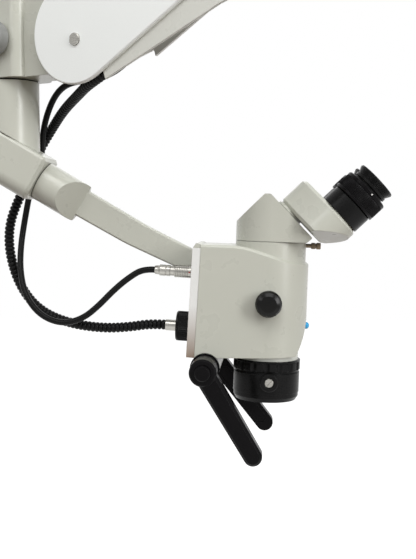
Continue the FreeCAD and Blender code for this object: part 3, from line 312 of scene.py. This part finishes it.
def paint(name, colour, dusk, rough=0.3, grain=0.00004):
    """Two-part enamel: fine orange peel, faint mottling, and a painted highlight that makes its edges
    lighter.
    """
    made = Shader(name)
    cloud = made.noise(14, 1)
    fleck = made.noise(1500, 2)
    base = made.blend(made.between(cloud, 0, 1, 0.1, 0.9), dusk, colour)
    light = tuple(min(1, 1.12 * part) for part in colour[:3]) + (1,)
    dark = tuple(0.9 * part for part in colour[:3]) + (1,)
    speckled = made.blend(made.between(fleck, 0.0, 0.3, 0.35, 0.7), base, dark)
    rounded = made.soft_edges(0.0009)
    # Painted highlight: near sharp edges the enamel colour is blended towards a lighter one.
    shade = made.blend(made.math("MULTIPLY", made.edge_mask(rounded), 0.6), speckled, light)
    peel = made.bump(made.noise(620, 3, rough=0.6), grain, 0.7, rounded)
    made.fixed(IOR=1.5, Coat_Weight=0.12, Coat_Roughness=0.25)
    return made.finish(shade, made.between(made.noise(45, 3), rough - 0.05, rough + 0.06), peel)


def dark_metal(name, colour, rough=0.3, metallic=0.0, edge=(60, 60, 62), specular=0.1):
    """Black anodised metal: satin, with a fine grain and paler worn edges."""
    made = Shader(name)
    rounded = made.soft_edges(0.0005)
    patches = made.between(made.noise(260, 3), 0.1, 0.9)
    worn = made.math("MULTIPLY", made.edge_mask(rounded, 0.05, 0.5), patches)
    pale = tuple(1.5 * part for part in colour[:3]) + (1,)
    tone = made.blend(made.between(made.noise(60, 3), 0, 1), colour, pale)
    shade = made.blend(made.math("MULTIPLY", worn, 0.5), tone, linear(*edge))
    made.fixed(Metallic=metallic, IOR=1.5, Specular_IOR_Level=specular)
    return made.finish(shade, made.between(made.noise(700, 2), rough - 0.08, rough + 0.1),
                       made.bump(made.noise(2600, 2), 0.00002, 0.5, rounded))


def moulded(name, colour, rough=0.5, grain=0.00005, scale=1900, coat=0.0, specular=0.1):
    """Moulded plastic or rubber with a spark-eroded grain, a random paler tone and a painted highlight on its
    edges.
    """
    made = Shader(name)
    rounded = made.soft_edges(0.0007)
    pale = tuple(1.9 * c for c in colour[:3]) + (1,)
    # Painted highlight: near sharp edges the colour is blended towards the paler one, which also gives the
    # random tone.
    shade = made.blend(made.math("MULTIPLY", made.edge_mask(rounded), 0.5),
                       made.blend(made.between(made.noise(38, 4), 0, 0.5), colour, pale), pale)
    made.fixed(IOR=1.5, Specular_IOR_Level=specular, Coat_Weight=coat, Coat_Roughness=0.08)
    return made.finish(shade, made.between(made.noise(120, 3), rough - 0.06, rough + 0.08),
                       made.bump(made.noise(scale, 2), grain, 0.6, rounded))


def brushed(name, colour, rough=0.28, along=(30, 30, 1400), metallic=1.0, streak=0.16):
    """Machined or brushed metal: fine streaks across the stretched direction."""
    made = Shader(name)
    streaks = made.noise(1.0, 3, made.stretched(along), 0.6)
    dark = tuple((1 - streak) * c for c in colour[:3]) + (1,)
    shade = made.blend(made.between(streaks, 0, 1), dark, colour)
    made.fixed(Metallic=metallic)
    return made.finish(shade, made.between(streaks, rough - 0.07, rough + 0.1),
                       made.bump(streaks, 0.00002, 0.35, made.soft_edges(0.0004)))


def coated_glass(name):
    """A lens face: dark behind, with the violet and green gleam of its coating."""
    made = Shader(name)
    veil = made.between(made.noise(14, 2), 0, 1)
    made.fixed(IOR=1.7, Coat_Weight=1.0, Coat_Roughness=0.02, Thin_Film_Thickness=420.0, Thin_Film_IOR=1.38)
    return made.finish(made.blend(veil, linear(18, 22, 34), linear(36, 30, 52)), 0.05,
                       made.bump(made.noise(60, 1), 0.00001, 0.2))


def plate_with_painted_reflection(name, top, low, place, tall):
    """Satin plate that turns brown towards its lower end: a painted reflection of a brown floor below it."""
    made = Shader(name)
    parts = made.add("ShaderNodeSeparateXYZ")
    made.join(made.coordinates, parts.inputs["Vector"])
    streaks = made.noise(1.0, 3, made.stretched((40, 1800, 40)), 0.6)
    # Painted reflection: the brown of a floor below, full at place and gone at place + tall.
    painted_floor_reflection = made.between(parts.outputs["Z"], 1, 0, place, place + tall)
    base = made.blend(made.between(streaks, 0, 0.6), top, tuple(0.9 * part for part in top[:3]) + (1,))
    made.fixed(Metallic=0.25)
    return made.finish(made.blend(painted_floor_reflection, base, low), made.between(streaks, 0.36, 0.5),
                       made.bump(streaks, 0.00002, 0.3, made.soft_edges(0.0004)))


BEIGE = linear(189, 190, 179)
WHITE = linear(243, 246, 244)
# The rear plate's painted floor reflection: full brown below PLATE_FOOT, fading out over the height above it.
GUIDE_HIGH = 0.026
PAINTED_REFLECTION_TALL = 0.05
PLATE_FOOT = place_of("collar_turn").z - GUIDE_HIGH
MATERIALS = {
    "paint": paint("enamel", BEIGE, linear(187, 188, 177)),
    "cover": paint("cover_enamel", WHITE, linear(241, 244, 242), 0.36, 0.00004),
    # The beam's enamel is written lighter than the knuckle's beige: a painted fill light against the shade
    # the cover casts on it.
    "grey_paint": paint("beam_enamel_painted_fill", linear(212, 213, 205), linear(210, 211, 203)),
    "steel": brushed("steel", linear(176, 174, 168)),
    "bright": brushed("chrome", linear(168, 166, 160), 0.24, (60, 60, 900), streak=0.3),
    "silver": plate_with_painted_reflection("brushed_plate_painted_reflection", linear(222, 222, 219), linear(140, 122, 107), PLATE_FOOT,
                          PAINTED_REFLECTION_TALL),
    "black_metal": dark_metal("black_anodised", linear(13, 13, 13)),
    "black_plastic": moulded("black_plastic", linear(6, 5, 6), 0.3, specular=0.08),
    "black_gloss": moulded("black_gloss", linear(8, 8, 7), 0.2, 0.00001, 900, specular=0.16),
    "grey_knob": moulded("grey_plastic", linear(122, 123, 121), 0.5, specular=0.3),
    "bronze": dark_metal("bronze", linear(96, 84, 70), 0.34, 0.8, (170, 150, 124), 0.5),
    "blue": moulded("blue_gloss", linear(0, 150, 206), 0.22, 0.00001, 900, 0.4, 0.4),
    "rubber": moulded("rubber", linear(12, 12, 12), 0.32, 0.00004, 1500),
    "glass": coated_glass("coated_glass"),
}
DOT = paint("index_dot", linear(232, 232, 228), linear(222, 222, 218))
MOUNT = brushed("pale_ring", linear(206, 208, 200), 0.4, metallic=0.2, streak=0.06)
RED = paint("mating_dot", linear(190, 30, 24), linear(170, 26, 22))


def dress(thing, slot, material=None):
    """Gives a piece the material of its slot, or the one given, in place of every material its mesh had."""
    thing.data.materials.clear()
    thing.data.materials.append(material or MATERIALS[slot])
    return thing


for row in frame["record"]["subparts"]:
    thing = nodes[row["node"]]
    for index in range(len(thing.material_slots)):
        thing.material_slots[index].material = MATERIALS[row["material_slot"]]


# Cords: the routes of the solids, millimetres in the frame of the column. The plug's end, where the lower
# lead starts, is typed here and lies 3.4 mm from the end of its solid
HOSE_RADIUS = 5.2
LEAD_RADIUS = 3.2
HOSE_HIGH = 14.3
LEAD_HIGH = 4.7
LEAD_ASIDE = 9
CLIP = COLUMN @ Matrix.Translation((8 * MM, 28 * MM, -88 * MM)) @ Matrix.Rotation(math.radians(22.3), 4, "Y")
PLUG_LONG = 37
PLUG_END = column_point(145.7, -5, -188.7)
PORT = seat(PLUG_END - axis_of("collar_turn") * PLUG_LONG * MM, axis_of("collar_turn"), (0, 0, 1))
FERRULE_END = 25.5


def hose_in_clip(along):
    return CLIP @ Vector((0, HOSE_HIGH * MM, along * MM))


def lead_in_clip(along):
    return CLIP @ Vector((LEAD_ASIDE * MM, LEAD_HIGH * MM, along * MM))


LOW_HOSE = [GUIDE @ Vector((0, 0, (FERRULE_END + step) * MM)) for step in (0, 15)]
LOW_HOSE += [column_point(*point) for point in (
    (118, 1, -247.5), (93, 2, -249), (62, 6, -246), (35, 12, -238.5), (15, 18, -226), (0.5, 24, -208),
    (-9, 29, -187), (-14, 33, -164), (-13.5, 37, -142), (-7, 40.5, -122))]
LOW_HOSE += [hose_in_clip(along) for along in (-18, -0.2)]
LOW_LEAD = [PORT @ Vector((0, 0, (PLUG_LONG + step) * MM)) for step in (0, 12)]
LOW_LEAD += [column_point(*point) for point in (
    (119, -6, -197), (104, -7.5, -209.5), (89, -7.5, -225), (73, -6, -238), (54, -3, -244), (36, 1, -241),
    (21, 3, -231), (9, 7, -214), (2, 17, -190), (0, 29, -166), (2, 35, -144), (6, 34.5, -124))]
LOW_LEAD += [lead_in_clip(along) for along in (-17, -0.2)]
HIGH_HOSE = [hose_in_clip(along) for along in (0.2, 16)]
HIGH_HOSE += [column_point(*point) for point in (
    (21.5, 41.5, -60), (29.5, 38, -48.5), (38, 29.5, -39), (47, 17, -31), (57, 2, -24.5), (67, -13, -19.5),
    (76, -29.5, -16), (85.5, -46, -12), (96.5, -60, -8), (109, -69, -2), (120.5, -75, 7), (131, -80, 19))]
HIGH_LEAD = [lead_in_clip(along) for along in (0.2, 16)]
HIGH_LEAD += [column_point(*point) for point in (
    (23, 31.6, -62), (25, 29, -48.5), (29, 23.5, -36.5), (35, 15, -25.5), (43, 4, -15.5), (53, -9, -8.5),
    (65, -22, -5), (79, -33.5, -4.6), (94, -44, -4.2), (108.5, -52.5, -2), (121.5, -59.5, 4),
    (132.5, -65, 13.5), (141, -69, 25.5))]


def spline_line(points):
    """The points along a smooth spline that is led by the route's points."""
    curve = bpy.data.curves.new("route", "CURVE")
    curve.dimensions = "3D"
    curve.resolution_u = 24
    spline = curve.splines.new("NURBS")
    spline.points.add(len(points) - 1)
    for control, point in zip(spline.points, points):
        control.co = (*point, 1)
    spline.order_u = 3
    spline.use_endpoint_u = True
    holder = bpy.data.objects.new("route", curve)
    scene.collection.objects.link(holder)
    bpy.context.view_layer.update()
    mesh = bpy.data.meshes.new_from_object(holder)
    line = [vertex.co.copy() for vertex in mesh.vertices]
    bpy.data.objects.remove(holder)
    bpy.data.curves.remove(curve)
    bpy.data.meshes.remove(mesh)
    return line


def stepped(line, step):
    """Points a given distance apart along a line, and the last one."""
    total = sum((b - a).length for a, b in zip(line, line[1:]))
    count = max(2, round(total / step))
    spots, walked, target = [line[0]], 0.0, total / count
    for a, b in zip(line, line[1:]):
        length = (b - a).length
        while walked + length >= target - 1e-9 and len(spots) < count:
            spots.append(a.lerp(b, (target - walked) / length))
            target += total / count
        walked += length
    spots.append(line[-1])
    return spots, total


def swept(name, spots, radius_at, segments=20):
    """A tube about the spots with a radius, in millimetres, for each of them."""
    rows = []
    side = None
    for index, spot in enumerate(spots):
        ahead = spots[min(index + 1, len(spots) - 1)] - spots[max(index - 1, 0)]
        ahead.normalize()
        if side is None:
            side = ahead.orthogonal().normalized()
        side = (side - ahead * side.dot(ahead)).normalized()
        across = ahead.cross(side)
        radius = radius_at(index) * MM
        rows.append([spot + (side * math.cos(angle) + across * math.sin(angle)) * radius
                     for angle in (2 * math.pi * part / segments for part in range(segments))])
    return mesh_object(name, skin(name, rows))


RIB_STEPS = 8
RIB_PITCH = 4.3
RIB_DEPTH = 1.7


def rib(index):
    """How far the hose's skin lies under its outer radius: round ribs with sharp grooves."""
    across = 2 * (index % RIB_STEPS) / RIB_STEPS - 1
    return RIB_DEPTH * (1 - math.sqrt(1 - 0.98 * across * across))


def corrugated(name, points):
    line = spline_line(points)
    spots, length = stepped(line, RIB_PITCH * MM / RIB_STEPS)
    return swept(name, spots, lambda index: HOSE_RADIUS - rib(index), 24), line, length


def plain(name, points):
    line = spline_line(points)
    spots, length = stepped(line, 2.5 * MM)
    return swept(name, spots, lambda index: LEAD_RADIUS, 20), line, length


for name, maker, points, radius, bodies in (
        ("hose_low", corrugated, LOW_HOSE, HOSE_RADIUS, ("head", "column")),
        ("lead_low", plain, LOW_LEAD, LEAD_RADIUS, ("head", "column")),
        ("hose_high", corrugated, HIGH_HOSE, HOSE_RADIUS, ("column", "yoke")),
        ("lead_high", plain, HIGH_LEAD, LEAD_RADIUS, ("column", "yoke"))):
    cord, line, length = maker(name + "_skin", points)
    dress(cord, "rubber")
    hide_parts(name)
    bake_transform(cord)


# Turned and knurled detail, each piece for a plain solid. All but the plug lie where their solid does
def in_place(thing, slot, node, material=None):
    dress(thing, slot, material)
    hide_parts(node)
    return thing


def half_disc_rows(place, radius, gap, steps, spin):
    """One side of a slotted screw head: rows of a disc cut off at half the slot's width."""
    rows = []
    for inset, height in steps:
        reach = radius - inset
        start = math.asin(gap / reach)
        angles = [start + (math.pi - 2 * start) * index / 20 + spin for index in range(21)]
        rows.append([place @ (Vector((reach * math.cos(angle), reach * math.sin(angle), height)) * MM)
                     for angle in angles])
    return rows


def slotted(name, place, radius, low, high, body, spin=0.2, slot=0.75):
    """A screw head with a straight slot and an eased rim."""
    foot = ring_rows(place, [(radius, low), (radius, high - 0.9)], 48)
    steps = [(0, high - 0.95), (0, high - 0.4), (0.5, high)]
    halves = [half_disc_rows(place, radius, slot, steps, turn) for turn in (spin, spin + math.pi)]
    made = mesh_object(name, skin(name + "_foot", foot), body)
    caps = bmesh.new()
    caps.from_mesh(made.data)
    for rows in halves:
        part = skin(name + "_half", rows)
        caps.from_mesh(part)
        bpy.data.meshes.remove(part)
    caps.to_mesh(made.data)
    caps.free()
    return made


def dot(name, place, radius, height, body, material):
    """A small inlaid mark, a low dome."""
    profile = [(radius, -0.4), (radius, height * 0.4), (radius * 0.7, height * 0.85), (radius * 0.25, height)]
    made = turned(name, place, profile, body, 20)
    return dress(made, "cover", material)


ARM = Matrix((ARM_ALONG, ARM_ACROSS, ARM_ALONG.cross(ARM_ACROSS))).transposed().to_4x4()
ARM = Matrix.Translation(FRONT_PIVOT) @ ARM
COVER_OUT = 26
SCREW_DROP = 10
SCREW_RADIUS = 5.8
SCREW_TALL = 1.8
for side, way in (("near", -1), ("far", 1)):
    spot = ARM @ Vector((0, way * COVER_OUT * MM, -SCREW_DROP * MM))
    place = seat(spot, ARM_ACROSS * way, (0, 0, 1))
    screw = slotted("cover_screw_" + side, place, SCREW_RADIUS, 0, SCREW_TALL, "spring_arm", 1.4)
    in_place(screw, "bright", "cover_screws")

FOCUS_TOP = -58.8
FOCUS_LOW = FOCUS_TOP - 9.6
FOCUS_RADIUS = 33.4
HOLLOWS = 16
HOLLOW_RADIUS = 3.4
HOLLOW_AT = FOCUS_RADIUS + HOLLOW_RADIUS * 0.45


def hollows(angle, radius, height):
    """How far the grip hollows cut in, on the outside and below the lip."""
    off = (angle + math.pi / HOLLOWS) % (2 * math.pi / HOLLOWS) - math.pi / HOLLOWS
    reach = HOLLOW_AT * math.sin(off)
    if radius < 30 or height > FOCUS_TOP - 1 or abs(reach) >= HOLLOW_RADIUS:
        return 0
    inner = HOLLOW_AT * math.cos(off) - math.sqrt(HOLLOW_RADIUS ** 2 - reach ** 2)
    return min(0, inner - radius)


MOUNT_RADIUS = 31
MOUNT_LOW = -58.5
MOUNT_TOP = -52
NECK_LOW = -72.5
mount_profile = [(20, NECK_LOW), (24, NECK_LOW), (24, MOUNT_LOW), (MOUNT_RADIUS, MOUNT_LOW),
                 (MOUNT_RADIUS, MOUNT_TOP), (20, MOUNT_TOP)]
in_place(turned("mount_skin", HEAD, mount_profile, "head", 96, None, True), "silver", "mount_ring", MOUNT)
focus_profile = [(24.05, FOCUS_LOW), (FOCUS_RADIUS - 0.7, FOCUS_LOW), (FOCUS_RADIUS, FOCUS_LOW + 0.7),
                 (FOCUS_RADIUS, FOCUS_TOP - 1.6), (FOCUS_RADIUS - 0.5, FOCUS_TOP - 1.1),
                 (FOCUS_RADIUS, FOCUS_TOP - 0.8), (FOCUS_RADIUS, -58.4), (FOCUS_RADIUS - 0.7, -57.9),
                 (MOUNT_RADIUS + 0.3, -57.9), (MOUNT_RADIUS + 0.3, FOCUS_TOP), (24.05, FOCUS_TOP)]
in_place(turned("focus_grip", HEAD, focus_profile, "focus", 256, hollows, True), "black_metal", "focus_ring")

collar_profile = [(9.05, 0.3), (14.2, 0.3), (15, 1.2), (15, 2.2), (15, 2.4), (15, 12.2), (15, 12.4),
                  (15, 13.5), (14, 14.5), (5.75, 14.5), (5.75, 12), (9.05, 12)]
in_place(turned("collar_grip", GUIDE, collar_profile, "collar", 176, knurl(44, 0.7, 2.3, 12.3, 14.5), True),
         "black_metal", "guide_collar")

plug_profile = [(1, 0.2), (6.3, 0.2), (6.3, 3)]
for rib_start in [3 + 1.7 * index for index in range(8)]:
    plug_profile += [(5.95, rib_start + 0.2), (5.95, rib_start + 0.5), (6.3, rib_start + 0.7),
                     (6.3, rib_start + 1.7)]
plug_profile += [(6.1, 16.9), (5, 17.2), (5, 21.2), (5.6, 21.6), (5.6, 25), (5.3, 25.3), (5.3, 25.8),
                 (5.6, 26.1), (5.6, 31.8), (4.6, 32.6), (4.3, 36.6), (4, 37), (1, 37)]
in_place(turned("plug_shell", PORT, plug_profile, "head", 64), "bright", "signal_plug")
plug_side = seat(PORT @ Vector((0, 0, 1.7 * MM)) - Vector((0, 6.25 * MM, 0)), (0, -1, 0.35), (0, 0, 1))
dot("plug_dot", plug_side, 0.9, 0.35, "head", RED)

STUD_DROP = 78.2
STUD_TURN = math.radians(5)
SLEEVE_RADIUS = 33
STUD = HEAD @ Matrix.Translation((0, 0, -STUD_DROP * MM)) @ Matrix.Rotation(STUD_TURN, 4, "Z")
STUD = STUD @ Matrix.Translation((0, -SLEEVE_RADIUS * MM, 0)) @ Matrix.Rotation(math.pi / 2, 4, "X")
stud_profile = [(4.7, 0.1), (9, 0.1), (9, 2.4), (8.2, 3.2), (5.3, 3.2), (4.7, 2.6)]
in_place(turned("boss_rim", STUD, stud_profile, "head", 64, None, True), "black_metal", "sleeve_boss")
in_place(slotted("boss_screw", STUD, 4.5, 0.2, 2.7, "head", 0.9, 0.6), "bright", "sleeve_boss")

CLAMP = seat(place_of("clamp_turn"), axis_of("clamp_turn"), (0, 0, 1))
clamp_profile = [(0.6, 0), (2, 0), (2, 11.6), (2.7, 11.6), (3.1, 12), (3.1, 15.6), (2.5, 16), (2.5, 16.6),
                 (3.3, 17), (3.3, 20.5), (2.7, 21.1), (0.6, 21.1)]
in_place(turned("clamp_grip", CLAMP, clamp_profile, "clamp", 88, knurl(22, 0.35, 11.9, 20.6, 2.9)), "bronze",
         "thumb_screw")

RING_RADIUS = 23.4
MARK_HIGH = 33.9
MARK_TURN = 0.25
for side in ("near", "far"):
    grip_profile = [(18.05, 17.7), (22.8, 17.7), (RING_RADIUS, 18.3), (RING_RADIUS, 20.2), (23.1, 20.6),
                    (RING_RADIUS, 21), (RING_RADIUS, 31.6), (23.1, 32), (RING_RADIUS, 32.4),
                    (RING_RADIUS, 35), (22.4, 36), (18.05, 36)]
    in_place(turned("eye_grip_" + side, EYE[side], grip_profile, "eyepiece_" + side, 320,
                    knurl(80, 0.55, 20.5, 32.1, 23), True), "black_plastic", "eyepiece_ring_" + side)
    centre = EYE[side] @ Vector((0, 0, MARK_HIGH * MM))
    along = EYE[side].col[2].to_3d()
    near_way = Vector((0, -1, 0))
    toward = near_way - along * along.dot(near_way)
    toward = (toward.normalized() + along.cross(toward).normalized() * MARK_TURN).normalized()
    mark = seat(centre + toward * (RING_RADIUS - 0.05) * MM, toward, along)
    dot("eye_dot_" + side, mark, 0.8, 0.25, "eyepiece_" + side, DOT)
    cup_profile = [(14.5, 36), (17.6, 36), (17.6, 37), (17.1, 37.3), (17.1, 37.8), (17.6, 38), (18.6, 38.4),
                   (18.6, 41), (17.5, 41.6)]
    for ridge in range(4):
        base, rise = 17.5 + 0.65 * ridge, 41.8 + 1.25 * ridge
        cup_profile += [(base + 0.5, rise + 0.25), (base + 0.6, rise + 0.8), (base + 0.3, rise + 1.1)]
    cup_profile += [(20.4, 47.1), (19.8, 48.6), (18.4, 48.6), (17.9, 48), (14.5, 40.6)]
    in_place(turned("cup_skin_" + side, EYE[side], cup_profile, "eyepiece_" + side, 96, None, True), "rubber",
             "eyecup_" + side)

# Rim of the sunk panel on the inner face of each handle arm
HANDLE_DROP = {"near": -57.6, "far": 50.4}
ARM_FACE = 55.3
PANEL_ENDS = ((24, 6.2), (86, 5.4))
RIM_RADIUS = 0.55


def panel_rows(place):
    """Rows of a thin round bead that runs once round the panel."""
    rows = []
    for (along, reach), start in zip(PANEL_ENDS, (90, -90)):
        for index in range(17):
            angle = math.radians(start + 180 * index / 16)
            out = Vector((math.cos(angle), math.sin(angle), 0))
            spot = Vector((along, 0, ARM_FACE)) + out * reach
            row = []
            for part in range(10):
                turn = 2 * math.pi * part / 10
                round_it = out * math.cos(turn) + Vector((0, 0, math.sin(turn)))
                row.append(place @ ((spot + round_it * RIM_RADIUS) * MM))
            rows.append(row)
    return rows


for side in ("near", "far"):
    place = HUB[side] @ Matrix.Rotation(math.radians(HANDLE_DROP[side]), 4, "Z")
    bead = mesh_object("panel_rim_" + side, skin("panel_rim_" + side, panel_rows(place), looped=True),
                       "handle_" + side)
    dress(bead, "black_plastic")


# Light: tall boxes on both sides of the camera, one over it, one on top, one behind, and an even world
def softbox(name, bearing, rise, distance, wide, high, power):
    """A lamp at a bearing from the camera's direction, seen from the head, pointing at it."""
    data = bpy.data.lights.new(name, "AREA")
    data.shape = "RECTANGLE"
    data.size = wide
    data.size_y = high
    data.energy = power
    lamp = bpy.data.objects.new(name, data)
    aim = HEAD.translation.lerp(COLUMN.translation, 0.4)
    turn = CAMERA_YAW - math.pi / 2 + math.radians(bearing)
    out = Vector((math.cos(turn) * math.cos(math.radians(rise)),
                  math.sin(turn) * math.cos(math.radians(rise)), math.sin(math.radians(rise))))
    lamp.location = aim + out * distance
    lamp.rotation_euler = out.to_track_quat("Z", "Y").to_euler()
    scene.collection.objects.link(lamp)
    return lamp


softbox("left_box", -48, 32, 1.7, 0.36, 1.0, 5)
softbox("right_box", 46, 14, 1.7, 0.4, 1.0, 15)
softbox("front_box", 4, 48, 1.8, 1.2, 0.9, 13)
softbox("top_box", 0, 84, 1.7, 1.6, 1.6, 5)
softbox("back_box", 170, 30, 2.0, 1.6, 1.2, 4)


def seen_factor(tree):
    """1 for a ray from the camera, from glossy metal or through glass, and 0 for other light."""
    rays = tree.nodes.new("ShaderNodeLightPath")
    factor = rays.outputs["Is Camera Ray"]
    for kind in ("Is Glossy Ray", "Is Transmission Ray"):
        either = tree.nodes.new("ShaderNodeMath")
        either.operation = "MAXIMUM"
        tree.links.new(factor, either.inputs[0])
        tree.links.new(rays.outputs[kind], either.inputs[1])
        factor = either.outputs[0]
    return factor


SKY_LIGHT = 0.52
world = bpy.data.worlds.new("studio")
world.use_nodes = True
scene.world = world
sky = world.node_tree
background = sky.nodes["Background"]
level = sky.nodes.new("ShaderNodeMapRange")
level.inputs["To Min"].default_value = SKY_LIGHT
level.inputs["To Max"].default_value = 1.0
sky.links.new(seen_factor(sky), level.inputs["Value"])
sky.links.new(level.outputs["Result"], background.inputs["Strength"])
background.inputs["Color"].default_value = (1, 1, 1, 1)

# Floor, well below the lowest reach of the handles: pale to the eye, dim and warm to the object above it
FLOOR_DROP = 0.5
FLOOR_SIZE = 12.0
FLOOR_GLOW = 0.58
floor_mesh = bpy.data.meshes.new("floor")
half = FLOOR_SIZE / 2
low = cad_box[0][2] - FLOOR_DROP
floor_mesh.from_pydata([(-half, -half, low), (half, -half, low), (half, half, low), (-half, half, low)],
                       [], [(0, 1, 2, 3)])
floor = mesh_object("floor", floor_mesh)
ground = Shader("pale_floor")
ground.fixed(Specular_IOR_Level=0.0)
shown = seen_factor(ground.material.node_tree)
cloud = ground.blend(ground.noise(3, 3), linear(248, 248, 247), linear(252, 252, 251))
ground.join(shown, ground.surface.inputs["Emission Strength"])
ground.surface.inputs["Emission Color"].default_value = (FLOOR_GLOW, FLOOR_GLOW, FLOOR_GLOW, 1)
ground.finish(ground.blend(shown, linear(100, 82, 64), cloud), 0.8,
              ground.bump(ground.noise(400, 2), 0.00005, 0.2))
floor.data.materials.append(ground.material)

scene.view_settings.view_transform = "Standard"
bpy.context.view_layer.update()
